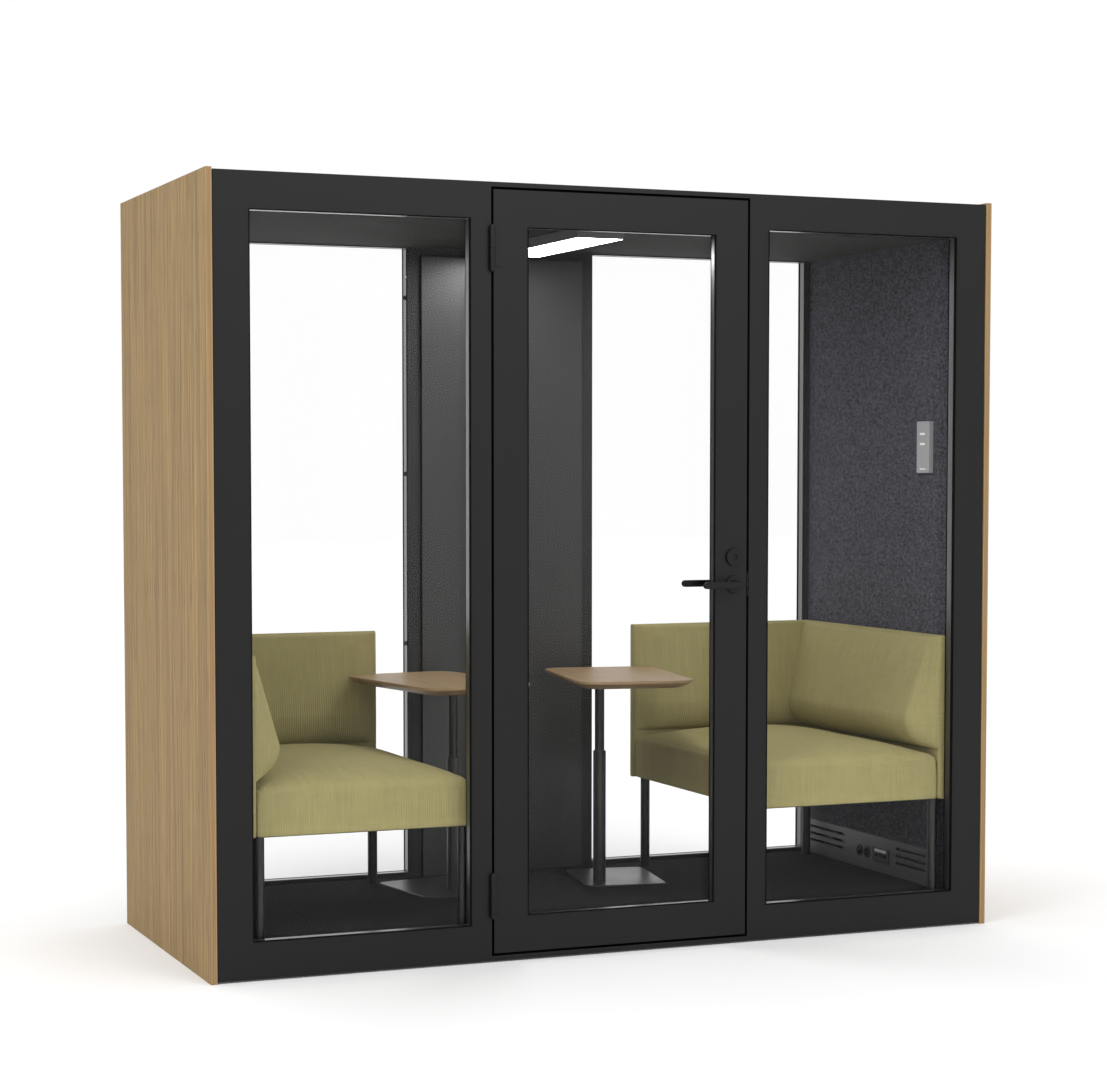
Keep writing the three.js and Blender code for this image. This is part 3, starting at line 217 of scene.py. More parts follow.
def linear(color):
    """Linear colour with alpha from a screen colour, by the usual screen curve."""
    value = np.array(color[:])
    bright = np.where(value <= 0.04045, value / 12.92, ((value + 0.055) / 1.055) ** 2.4)
    return (*bright.tolist(), 1.0)


def toned(color, share):
    """Linear colour made lighter or darker by a share."""
    return (*(channel * share for channel in linear(color)[:3]), 1.0)


def warmed(color, share):
    """Linear colour made darker by a share, its blue more than its red."""
    red, green, blue, alpha = linear(color)
    return (red * share ** 0.85, green * share, blue * share ** 1.25, alpha)


# Material nodes

def feed(tree, socket, value):
    """Links a socket to another one, or sets its value."""
    if isinstance(value, bpy.types.NodeSocket):
        tree.links.new(value, socket)
    else:
        socket.default_value = value


def put(tree, kind, sockets=None, **settings):
    """Adds a shader node, sets its settings, and sets or links its sockets."""
    node = tree.nodes.new("ShaderNode" + kind)
    for name, value in settings.items():
        setattr(node, name, value)
    for name, value in (sockets or {}).items():
        feed(tree, node.inputs[name], value)
    return node


def new_finish(name):
    """Empty node material."""
    material = bpy.data.materials.new(name)
    material.use_nodes = True
    material.node_tree.nodes.clear()
    return material, material.node_tree


def close(tree, shader):
    """Ends a material in its shader."""
    put(tree, "OutputMaterial", {"Surface": shader})


def surfaced(material, sockets):
    """Ends a material in one shader, its sockets set or linked."""
    tree = material.node_tree
    close(tree, put(tree, "BsdfPrincipled", sockets).outputs["BSDF"])
    return material


def coordinate(tree, axis, source="Object"):
    """One coordinate of the place on the object, or of its surface normal."""
    return put(tree, "SeparateXYZ", {"Vector": put(tree, "TexCoord").outputs[source]}).outputs[axis]


def spot(tree, scale, turn=0.0, source="Object"):
    """Pattern coordinates: the object's or the weave's own, turned about Z and scaled by axis."""
    place = put(tree, "TexCoord").outputs[source]
    sockets = {"Vector": place, "Rotation": (0.0, 0.0, turn), "Scale": scale}
    return put(tree, "Mapping", sockets, vector_type="POINT").outputs["Vector"]


def cloud(tree, scale, detail=3.0, roughness=0.55, turn=0.0, source="Object"):
    """Noise on pattern coordinates."""
    sockets = {"Vector": spot(tree, scale, turn, source), "Scale": 1.0, "Detail": detail,
               "Roughness": roughness}
    return put(tree, "TexNoise", sockets).outputs["Fac"]


def ramp(tree, value, low, high, start=0.3, end=0.7):
    """Colour that runs from low to high as the value goes from start to end."""
    node = put(tree, "ValToRGB", {"Fac": value})
    first, last = node.color_ramp.elements
    first.position, first.color = start, low
    last.position, last.color = end, high
    return node.outputs["Color"]


def shaded(tree, value, color, low, high, *ends):
    """Ramp from a darker to a lighter share of one colour."""
    return ramp(tree, value, toned(color, low), toned(color, high), *ends)


def span(tree, value, low, high, start=0.3, end=0.7):
    """Number that runs from low to high as the value goes from start to end."""
    sockets = {"Value": value, "From Min": start, "From Max": end, "To Min": low, "To Max": high}
    return put(tree, "MapRange", sockets).outputs["Result"]


def mixed(tree, share, first, second):
    """Two colours mixed by a share."""
    node = put(tree, "Mix", data_type="RGBA")
    for name, value in (("Factor_Float", share), ("A_Color", first), ("B_Color", second)):
        feed(tree, next(socket for socket in node.inputs if socket.identifier == name), value)
    return next(socket for socket in node.outputs if socket.identifier == "Result_Color")


def worked(tree, operation, first, second):
    """One sum of two values."""
    node = put(tree, "Math", operation=operation)
    for socket, value in zip(node.inputs, (first, second)):
        feed(tree, socket, value)
    return node.outputs["Value"]


def relief(tree, height, depth):
    """Surface normal from a height in metres of relief."""
    return put(tree, "Bump", {"Height": height, "Distance": depth, "Strength": 1.0}).outputs["Normal"]


def looked_at(tree):
    """1 where the camera, gloss or glass looks at the studio, 0 for the light that it gives."""
    path = put(tree, "LightPath").outputs
    seen = worked(tree, "MAXIMUM", path["Is Camera Ray"], path["Is Glossy Ray"])
    return worked(tree, "MAXIMUM", seen, path["Is Transmission Ray"])


def coated(finishes, name):
    """Sprayed or moulded finish: fine flecks in colour and relief, and slow clouds in colour and gloss."""
    made = COATS[name]
    color = getattr(finishes, made.color)
    material, tree = new_finish(name)
    fine = cloud(tree, (made.fleck, made.fleck, made.fleck), detail=2.0)
    wide = cloud(tree, (5.0, 5.0, 2.5))
    both = worked(tree, "ADD", worked(tree, "MULTIPLY", fine, 0.5), worked(tree, "MULTIPLY", wide, 0.5))
    return surfaced(material, {
        "Base Color": shaded(tree, both, color, 1.0 - made.contrast, 1.0 + made.contrast),
        "Roughness": span(tree, wide, made.rough - made.spread, made.rough + made.spread),
        "Specular IOR Level": made.specular, "Normal": relief(tree, fine, made.depth)})


def oak_veneer(finishes):
    """Straight oak: slow bands, fine lines, long dark streaks and short pores along Z. The edges show the
    board's layers across X: a pale face veneer on both sides of a warmer core."""
    material, tree = new_finish("oak_veneer")
    oak, lipping = finishes.oak, finishes.oak_edge
    band = cloud(tree, (15.0, 15.0, 0.35), roughness=0.5)
    line = cloud(tree, (85.0, 85.0, 1.1), detail=4.0, roughness=0.75)
    streak = cloud(tree, (56.0, 56.0, 0.7), roughness=0.7)
    pore = cloud(tree, (150.0, 150.0, 9.0), detail=2.0)
    wood = ramp(tree, band, warmed(oak, 0.85), toned(oak, 1.14))
    wood = mixed(tree, 0.75, wood, ramp(tree, line, warmed(oak, 0.35), toned(oak, 1.65)))
    wood = mixed(tree, span(tree, streak, 0.0, 0.5, 0.58, 0.68), wood, warmed(oak, 0.5))
    wood = mixed(tree, span(tree, pore, 0.0, 0.55, 0.54, 0.66), wood, warmed(oak, 0.5))
    across = worked(tree, "ABSOLUTE", coordinate(tree, "X"), 0.0)
    layer = worked(tree, "PINGPONG", span(tree, across, 0.0, 1.0, *CLADDING), 0.5)
    flake = cloud(tree, (420.0, 420.0, 5.0), detail=2.0)
    edge = ramp(tree, layer, toned(lipping, 1.2), warmed(lipping, 0.85), 0.08, 0.26)
    edge = mixed(tree, 0.45, edge, ramp(tree, flake, warmed(lipping, 0.65), toned(lipping, 1.3)))
    facing = worked(tree, "ABSOLUTE", coordinate(tree, "X", "Normal"), 0.0)
    side = worked(tree, "GREATER_THAN", facing, SQUARE_ON)
    height = worked(tree, "SUBTRACT", line, worked(tree, "MULTIPLY", pore, 0.6))
    return surfaced(material, {
        "Base Color": mixed(tree, side, edge, wood), "Roughness": span(tree, line, 0.5, 0.66),
        "Specular IOR Level": 0.15, "Normal": relief(tree, height, 0.00025)})


def table_wood(name, color, turn):
    """Straight grain along the table top's own length, with slow figure and fine pores."""
    material, tree = new_finish(name)
    figure = cloud(tree, (26.0, 1.6, 26.0), detail=5.0, roughness=0.6, turn=turn)
    line = cloud(tree, (300.0, 6.0, 300.0), roughness=0.7, turn=turn)
    wood = shaded(tree, figure, color, 0.72, 1.16)
    wood = mixed(tree, 0.5, wood, shaded(tree, line, color, 0.68, 1.2))
    return surfaced(material, {
        "Base Color": wood, "Roughness": span(tree, line, 0.38, 0.52), "Specular IOR Level": 0.4,
        "Normal": relief(tree, line, 0.0002)})


def felt(finishes):
    """Pressed felt: dark and pale tufts of fibre a few millimetres across, matt, with a fibre nap. The
    panel's top edge shows its dark board."""
    material, tree = new_finish("grey_felt")
    color, dark = finishes.felt, finishes.lacquer
    tuft = cloud(tree, (74.0, 74.0, 120.0), detail=4.0, roughness=0.85)
    fleck = cloud(tree, (125.0, 125.0, 200.0), roughness=0.8)
    fibre = cloud(tree, (1300.0, 1300.0, 900.0), detail=2.0)
    base = shaded(tree, tuft, color, 0.1, 3.2, 0.42, 0.62)
    base = mixed(tree, 0.4, base, shaded(tree, fleck, color, 0.1, 2.8, 0.4, 0.64))
    board = shaded(tree, fleck, dark, 0.9, 1.8)
    upward = worked(tree, "GREATER_THAN", coordinate(tree, "Z", "Normal"), SQUARE_ON)
    height = worked(tree, "ADD", fleck, worked(tree, "MULTIPLY", fibre, 0.5))
    return surfaced(material, {
        "Base Color": mixed(tree, upward, base, board), "Roughness": 0.95, "Specular IOR Level": 0.1,
        "Sheen Weight": 0.1, "Sheen Roughness": 0.6, "Normal": relief(tree, height, 0.0012)})


def carpet_pile(finishes):
    """Loop pile: a cell for each loop, dark between the loops, with paler loops scattered in clumps."""
    material, tree = new_finish("carpet_pile")
    color = finishes.carpet
    loop = put(tree, "TexVoronoi", {"Vector": spot(tree, (150.0, 150.0, 150.0)), "Scale": 1.0})
    clump = cloud(tree, (52.0, 52.0, 52.0), detail=4.0, roughness=0.8)
    wide = cloud(tree, (12.0, 12.0, 12.0))
    gap = loop.outputs["Distance"]
    base = shaded(tree, clump, color, 0.35, 2.4, 0.42, 0.68)
    base = mixed(tree, span(tree, gap, 0.0, 0.7, 0.35, 0.9), base, toned(color, 0.25))
    base = mixed(tree, 0.25, base, shaded(tree, wide, color, 0.7, 1.5))
    return surfaced(material, {
        "Base Color": base, "Roughness": 1.0, "Specular IOR Level": 0.05,
        "Normal": relief(tree, worked(tree, "SUBTRACT", clump, gap), 0.003)})


def ribbed_fabric(finishes, upholstery):
    """Ribbed weave on the cover's own map: ribs along V, cross threads along U, and slubs along the ribs. A
    wave whose scale is pi / 10 over a width repeats once in that width."""
    material, tree = new_finish("olive_fabric")
    color = finishes.fabric
    weave = spot(tree, (1.0, 1.0, 1.0), source="UV")
    rib = put(tree, "TexWave", {
        "Vector": weave, "Scale": math.pi / 10.0 / upholstery.rib, "Distortion": 0.8, "Detail": 1.0,
        "Detail Scale": 3.0}, bands_direction="X").outputs["Fac"]
    weft = put(tree, "TexWave", {
        "Vector": weave, "Scale": math.pi / 10.0 / upholstery.weft, "Distortion": 1.5,
        "Detail": 1.0}, bands_direction="Y").outputs["Fac"]
    slub = cloud(tree, (90.0, 7.0, 1.0), detail=4.0, roughness=0.7, source="UV")
    pick = cloud(tree, (14.0, 130.0, 1.0), roughness=0.7, source="UV")
    wear = cloud(tree, (7.0, 7.0, 7.0))
    thread = worked(tree, "ADD", worked(tree, "MULTIPLY", rib, 0.75), worked(tree, "MULTIPLY", weft, 0.25))
    base = shaded(tree, thread, color, 0.88, 1.11, 0.1, 0.9)
    base = mixed(tree, 0.4, base, shaded(tree, slub, color, 0.62, 1.38))
    base = mixed(tree, 0.25, base, shaded(tree, pick, color, 0.66, 1.34))
    base = mixed(tree, 0.15, base, shaded(tree, wear, color, 0.85, 1.15))
    height = worked(tree, "ADD", thread, worked(tree, "MULTIPLY", slub, 0.5))
    return surfaced(material, {
        "Base Color": base, "Roughness": 0.88, "Specular IOR Level": 0.2, "Sheen Weight": 0.3,
        "Sheen Roughness": 0.5, "Sheen Tint": toned(color, 1.3), "Normal": relief(tree, height, 0.0005)})


def anodised_channel(finishes):
    """Black anodised metal under a clear seal, drawn along Z: dark from the front, bright at a glance."""
    material, tree = new_finish("anodised_channel")
    drawn = cloud(tree, (500.0, 500.0, 12.0))
    return surfaced(material, {
        "Base Color": shaded(tree, drawn, finishes.channel, 0.8, 1.2),
        "Roughness": span(tree, drawn, 0.28, 0.36), "IOR": 1.6, "Coat Weight": 0.6, "Coat IOR": 1.6,
        "Coat Roughness": 0.24, "Normal": relief(tree, drawn, 0.00003)})


def brushed_steel(finishes):
    """Steel with a brush mark along Z."""
    material, tree = new_finish("steel")
    brush = cloud(tree, (900.0, 900.0, 30.0))
    return surfaced(material, {
        "Base Color": shaded(tree, brush, finishes.steel, 0.8, 1.1),
        "Metallic": 1.0, "Roughness": span(tree, brush, 0.26, 0.42), "Normal": relief(tree, brush, 0.00005)})


def clear_glass():
    """Clear pane: light passes straight on, with a weak reflection that grows towards grazing angles."""
    material, tree = new_finish("clear_glass")
    haze = cloud(tree, (2.2, 2.2, 1.4), detail=2.0)
    tint = ramp(tree, haze, (0.997, 0.999, 0.998, 1.0), (1.0, 1.0, 1.0, 1.0))
    clear = put(tree, "BsdfTransparent", {"Color": tint})
    shine = put(tree, "BsdfGlossy", {"Roughness": span(tree, haze, 0.02, 0.05)})
    share = worked(tree, "MULTIPLY", put(tree, "Fresnel", {"IOR": 1.45}).outputs["Fac"], 0.15)
    mix = put(tree, "MixShader", {"Fac": share, 1: clear.outputs["BSDF"], 2: shine.outputs["BSDF"]})
    close(tree, mix.outputs["Shader"])
    return material


def lit_opal(strength):
    """Opal diffuser, lit from behind and a little brighter along its middle."""
    material, tree = new_finish("diffuser")
    across = worked(tree, "ABSOLUTE", coordinate(tree, "X"), 0.0)
    glow = worked(tree, "MULTIPLY", span(tree, across, 1.0, 0.8, 0.0, DIFFUSER_HALF), strength)
    grain = cloud(tree, (700.0, 700.0, 700.0))
    return surfaced(material, {
        "Base Color": ramp(tree, grain, (0.86, 0.86, 0.86, 1.0), (0.9, 0.9, 0.9, 1.0)), "Roughness": 0.45,
        "Emission Color": (1.0, 1.0, 1.0, 1.0), "Emission Strength": glow})


def coat(material, *nodes):
    """Gives frame nodes a finish."""
    for node in nodes:
        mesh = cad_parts[node].data
        mesh.materials.clear()
        mesh.materials.append(material)


def ease(width, *nodes):
    """Joins the loose triangles of rigid nodes and eases their edges."""
    for node in nodes:
        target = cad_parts[node]
        join = target.modifiers.new("join", "WELD")
        join.merge_threshold = JOINED
        arris = target.modifiers.new("arris", "BEVEL")
        arris.width = width
        arris.segments = 2
        arris.limit_method = "ANGLE"
        arris.angle_limit = EASED


def soften(width, *nodes):
    """Eases the edges of turned and rounded nodes, and shades them smoothly, their flats kept flat."""
    ease(width, *nodes)
    for node in nodes:
        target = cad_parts[node]
        target.data.polygons.foreach_set("use_smooth", np.ones(len(target.data.polygons), bool))
        target.modifiers.new("flats", "WEIGHTED_NORMAL")


# Surfaces

def skin(name, points, faces, body, weave=None):
    """Mesh object of points and faces that rides on a body. The weave map is metres over each face."""
    mesh = bpy.data.meshes.new(name)
    mesh.from_pydata(points.tolist(), [], faces.tolist())
    if weave is not None:
        mesh.uv_layers.new(name="weave").data.foreach_set("uv", weave.ravel())
    work = bmesh.new()
    work.from_mesh(mesh)
    bmesh.ops.remove_doubles(work, verts=work.verts, dist=1e-6)
    work.to_mesh(mesh)
    work.free()
    mesh.polygons.foreach_set("use_smooth", np.ones(len(mesh.polygons), bool))
    mesh.update()
    piece = bpy.data.objects.new(name, mesh)
    bpy.context.scene.collection.objects.link(piece)
    if body:
        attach(piece, body)
    return piece


def fit(piece, material):
    """Gives a piece of trim its finish."""
    piece.data.materials.append(material)


def strip(rows, columns, closed):
    """Faces of a grid of rows by columns, closed round its rows, and along its columns where asked."""
    i, j = np.meshgrid(np.arange(rows), np.arange(columns if closed else columns - 1), indexing="ij")
    k, m = (i + 1) % rows, (j + 1) % columns
    quads = [i * columns + j, k * columns + j, k * columns + m, i * columns + m]
    return np.stack(quads, -1).reshape(-1, 4)


def ring(name, body, window, face, depth, thick, slot, material):
    """Flat lining of a rectangular opening from a face to a depth: a profile of inset and depth, its free
    edge chamfered, carried round four mitred corners."""
    (x0, x1), (z0, z1) = window
    out = math.copysign(1.0, depth)
    far = abs(depth)
    chamfer = min(thick, far) / 2
    inset = np.array([0.0, thick, thick, thick - chamfer, 0.0])
    reach = np.array([0.0, 0.0, far - chamfer, far, far])
    corner = np.array([[1, 1], [-1, 1], [-1, -1], [1, -1]])
    start = np.array([[x0, z0], [x1, z0], [x1, z1], [x0, z1]])
    flat = start[:, None, :] + corner[:, None, :] * inset[None, :, None]
    away = np.broadcast_to(face + out * reach, flat.shape[:2])
    points = np.stack([flat[..., 0], away, flat[..., 1]], -1).reshape(-1, 3)
    faces = strip(4, len(inset), closed=True)
    if out > 0:
        faces = faces[:, ::-1]
    piece = skin(name, points, faces, body)
    piece.data.set_sharp_from_angle(angle=CREASE)
    fit(piece, material)


def turned_head(radius, height):
    """Round head with a recess: a profile of radius and height turned about the axis."""
    profile = np.array([[0.0, 0.45], [0.36, 0.45], [0.42, 1.0], [0.74, 1.0], [0.94, 0.72], [1.0, 0.3],
                        [1.0, 0.0], [0.0, 0.0]]) * (radius, height)
    steps = 24
    angle = np.arange(steps) * 2 * math.pi / steps
    across = np.stack([np.cos(angle), np.sin(angle)], -1)
    flat = across[:, None, :] * profile[None, :, :1]
    rise = np.broadcast_to(profile[None, :, 1:], flat.shape[:2] + (1,))
    points = np.concatenate([flat, rise], -1).reshape(-1, 3)
    return points, strip(steps, len(profile), closed=False)[:, ::-1]


def heads(name, body, places, axis, radius, height, material):
    """Round heads at places, all facing along an axis."""
    points, faces = turned_head(radius, height)
    turn = np.array(Vector((0, 0, 1)).rotation_difference(Vector(axis)).to_matrix())
    head = points @ turn.T
    places = np.array(places)
    spread = (places[:, None, :] + head[None]).reshape(-1, 3)
    offset = np.arange(len(places))[:, None, None] * len(points)
    piece = skin(name, spread, (faces[None] + offset).reshape(-1, 4), body)
    fit(piece, material)


def tile(name, body, low, high, material):
    """Small flat plate between two corners, its edges eased."""
    corners, faces = block_skin((1, 1, 1))
    low, high = np.array(low), np.array(high)
    piece = skin(name, (low + high) / 2 + corners * (high - low) / 2, faces, body)
    piece.data.set_sharp_from_angle(angle=CREASE)
    arris = piece.modifiers.new("arris", "BEVEL")
    arris.width = TILE_ARRIS
    arris.segments = 2
    fit(piece, material)


def block_skin(steps):
    """Skin of a block: six grids of whole-number corners, shared corners merged. Gives the corners, each from
    -1 to 1 along three axes, and the faces, turned outwards."""
    steps = np.array(steps)
    sheets = []
    for axis in range(3):
        a, b = (axis + 1) % 3, (axis + 2) % 3
        grids = np.meshgrid(np.arange(steps[a]), np.arange(steps[b]), indexing="ij")
        i, j = (grid.ravel() for grid in grids)
        for end in (0, steps[axis]):
            quad = np.empty((i.size, 4, 3), int)
            quad[..., axis] = end
            quad[..., a] = np.stack([i, i + 1, i + 1, i], 1)
            quad[..., b] = np.stack([j, j, j + 1, j + 1], 1)
            sheets.append(quad if end else quad[:, ::-1])
    corners, index = np.unique(np.concatenate(sheets).reshape(-1, 3), axis=0, return_inverse=True)
    return corners / steps * 2.0 - 1.0, index.reshape(-1, 4)


def crowd(t):
    """Crowds evenly spaced rows towards both ends: the sine of a quarter turn."""
    return np.sin(t * math.pi / 2)


def weave_map(points, faces):
    """Map of each face corner: the two coordinates, in metres, of the plane that the face lies closest to."""
    ring = points[faces]
    normal = np.abs(np.cross(ring[:, 2] - ring[:, 0], ring[:, 3] - ring[:, 1]))
    across = np.array([[1, 2], [0, 2], [0, 1]])[normal.argmax(1)]
    return np.take_along_axis(ring, across[:, None, :].repeat(4, 1), 2)


# Sofa forms, in millimetres from the pod's front plane, for the right-hand sofa

SOFA = {"front": 52.0, "back": 943.0, "outer": 1104.0, "inner": 443.0, "panel": 25.0, "foot": 385.0,
        "top": 888.0, "shift": 5.0}
SEAT = {"edge": 528.0, "crown": 38.0, "round": 24.0, "corner": 8.0, "draw": 2.0}
BACK_PAD = {"nose": 84.0, "top": 10.0, "fade": 70.0}
SIDE_PAD = {"nose": 38.0, "top": 8.0, "fade": 100.0}
PAD = {"nose_z": 632.0, "foot_z": 540.0, "round": 9.0, "crown": 5.0, "end": 0.1, "rise": 30.0}
FRONT_PLANE = -475.0
GAP = 0.3
CLEAR = 0.5

# Faces along each side of the seat, along and through a panel, and rows up a panel

SEAT_GRID = (56, 76, 16)
PANEL_GRID = (76, 8)
ROWS = {"foot": 5, "plain": 9, "nose": 15, "upper": 17, "top": 7}

# How soon a cover comes free away from what holds it: the seat's panels and frame, and a panel's mitre

FREED = {"panels": 6, "frame": 3, "mitre": 8}


def seat_form(inset):
    """Seat cushion: a block whose points are pulled to rounded edges, crisp up the corners and soft round
    the top, with a crown that falls to nothing at the sides, and its sides drawn in a little. Returns points,
    faces and how free each point is to swell: 1 on top, in front and towards the aisle, 0 against the panels
    and the frame."""
    grid, faces = block_skin(SEAT_GRID)
    u, v, w = crowd(grid).T
    outer = SOFA["outer"] - SOFA["panel"] - 2 * GAP
    rear = SOFA["back"] - SOFA["panel"] - 2 * GAP
    low = np.array([SOFA["inner"] + inset, SOFA["front"] + inset, SOFA["foot"] + CLEAR])
    high = np.array([outer - CLEAR, rear - CLEAR, SEAT["edge"] - inset])
    half = (high - low) / 2
    radius = SEAT["corner"] + (SEAT["round"] - SEAT["corner"]) * ((w + 1) / 2) ** 4
    block = np.stack([u, v, w], -1) * half
    core = np.clip(block, radius[:, None] - half, half - radius[:, None])
    out = block - core
    reach = np.linalg.norm(out, axis=1, keepdims=True)
    points = core + out * radius[:, None] / np.maximum(reach, 1e-9)
    points = np.where(reach > 0, points, block) + (low + high) / 2
    points[:, 2] += SEAT["crown"] * (1 - u ** 2) * (1 - v ** 4) * np.maximum(0, w)
    points[:, 0] -= SEAT["draw"] * np.sign(u) * u ** 4 * (1 - w ** 2) * (1 - v ** 2)
    points[:, 1] -= SEAT["draw"] * np.sign(v) * v ** 4 * (1 - w ** 2) * (1 - u ** 2)
    sides = np.clip((1 - u) * FREED["panels"], 0, 1) * np.clip((1 - v) * FREED["panels"], 0, 1)
    return points, faces, sides * np.clip((w + 1) * FREED["frame"], 0, 1)


def pad_depth(pad, z):
    """Depth of a wedge pad at each height: a quarter ellipse up to its nose, then a straight taper."""
    t = np.clip((PAD["nose_z"] - z) / (PAD["nose_z"] - PAD["foot_z"]), 0, 1)
    under = pad["nose"] * np.sqrt(1 - t ** 2)
    over = pad["nose"] + (pad["top"] - pad["nose"]) * (z - PAD["nose_z"]) / (SOFA["top"] - PAD["nose_z"])
    return np.where(z <= PAD["foot_z"], 0.0, np.where(z < PAD["nose_z"], under, over))


def edge_draw(share):
    """How far a rounded edge falls back: a quarter circle as the share goes from 0 to 1."""
    return PAD["round"] * (1 - np.sqrt(1 - np.clip(share, 0, 1) ** 2))


def panel_rows():
    """Heights of a panel's rows: close at the rounded edges and where the nose turns."""
    nose_z, foot_z, turn = PAD["nose_z"], PAD["foot_z"], math.pi / 2
    foot = SOFA["foot"] + PAD["round"] * (1 - np.cos(np.linspace(0, turn, ROWS["foot"])))
    plain = np.linspace(foot[-1], foot_z, ROWS["plain"])[1:]
    nose = nose_z - (nose_z - foot_z) * np.cos(np.linspace(0, turn, ROWS["nose"])[1:])
    upper = np.linspace(nose_z, SOFA["top"] - PAD["round"], ROWS["upper"])[1:]
    top = SOFA["top"] - PAD["round"] * (1 - np.sin(np.linspace(0, turn, ROWS["top"])[1:]))
    return np.concatenate([foot, plain, nose, upper, top])


def panel_form(pad, other, free_end, corner, inset):
    """Upholstered panel with a wedge pad that swells from a thin free end, by a quarter sine over its fade,
    and runs to a mitred corner. Returns run, depth and height of each point, the faces, and how free each
    point is to swell: 1 on the face that shows, 0 at the wall."""
    rows = panel_rows()
    grid, faces = block_skin((*PANEL_GRID, len(rows) - 1))
    u, v = crowd(grid[:, 0]), grid[:, 1]
    z = rows[np.rint((grid[:, 2] + 1) / 2 * (len(rows) - 1)).astype(int)]
    above, below = (z - SOFA["top"]) / PAD["round"], (SOFA["foot"] - z) / PAD["round"]
    draw = edge_draw(np.maximum(above + 1, below + 1))
    t = (u + 1) / 2
    along = t * (corner - free_end)
    full = pad_depth(pad, z)
    swell = PAD["end"] + (1 - PAD["end"]) * crowd(np.minimum(1, along / pad["fade"]))
    shown = np.clip((z - PAD["foot_z"]) / PAD["rise"], 0, 1) * swell
    crown = PAD["crown"] * (1 - u ** 2) * full / pad["nose"]
    pinch = edge_draw(1 - along / PAD["round"])
    face = SOFA["panel"] + (full + crown) * swell - inset * shown
    depth = draw + (face - 2 * draw - pinch) * (v + 1) / 2
    end = corner - depth * (SOFA["panel"] + pad_depth(other, z)) / (SOFA["panel"] + full)
    run = free_end + CLEAR + (end - CLEAR - free_end - CLEAR) * t
    clear = np.clip((v + 1) / 2, 0, 1) * shown * np.clip((1 - t) * FREED["mitre"], 0, 1)
    return run, depth, z, faces, clear


def fill(points, faces, clear, upholstery):
    """Fills a cover like a cushion: a cloth with pressure inside and no weight, its points then held to the
    furthest swell and to how free each one is."""
    mesh = bpy.data.meshes.new("cover")
    mesh.from_pydata(points.tolist(), [], faces.tolist())
    cover = bpy.data.objects.new("cover", mesh)
    scene = bpy.context.scene
    scene.collection.objects.link(cover)
    cloth = cover.modifiers.new("filling", "CLOTH")
    cloth.settings.use_pressure = True
    cloth.settings.uniform_pressure_force = upholstery.pressure
    cloth.settings.effector_weights.gravity = 0.0
    cloth.point_cache.frame_end = upholstery.steps
    for step in range(1, upholstery.steps + 1):
        scene.frame_set(step)
    shaped = cover.evaluated_get(bpy.context.evaluated_depsgraph_get()).to_mesh()
    filled = np.empty(len(points) * 3)
    shaped.vertices.foreach_get("co", filled)
    move = filled.reshape(-1, 3) - points
    bpy.data.objects.remove(cover)
    scene.frame_set(1)
    reach = np.linalg.norm(move, axis=1, keepdims=True)
    held = move * np.minimum(1.0, upholstery.swell / np.maximum(reach, 1e-9))
    return points + held * clear[:, None]


def cushion(part, points, faces, clear, upholstery, material):
    """Fills a right-hand cushion given in millimetres, and makes it and its mirror image for both sofas."""
    points = (points + (0.0, FRONT_PLANE, 0.0)) * MM
    ring = points[faces]
    center = points.mean(0)
    outward = np.einsum("ij,ij->i", np.cross(ring[:, 2] - ring[:, 0], ring[:, 3] - ring[:, 1]),
                        ring.mean(1) - center).sum()
    if outward < 0:
        faces = faces[:, ::-1]
    points = fill(points, faces, clear, upholstery)
    for label, side in (("right", 1.0), ("left", -1.0)):
        order = faces if side > 0 else faces[:, ::-1]
        weave = weave_map(points, order)
        placed = points * (side, 1.0, 1.0) + (SOFA["shift"] * MM, 0.0, 0.0)
        piece = skin(f"{label}_{part}_cushion", placed, order, "pod", weave)
        piece.data.materials.append(material)
        smooth = piece.modifiers.new("smooth", "SUBSURF")
        smooth.levels = 1
        smooth.render_levels = 1
        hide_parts(f"sofa_{label}_{part}")


# Operators

class POD_OT_cladding(bpy.types.Operator):
    """Veneers the two side panels in oak"""

    bl_idname = "pod.cladding"
    bl_label = "Side Cladding"

    def execute(self, context):
        scene = context.scene
        coat(oak_veneer(scene.pod_finishes), "side_panel_left", "side_panel_right")
        ease(scene.pod_trim.arris, "side_panel_left", "side_panel_right")
        return {"FINISHED"}


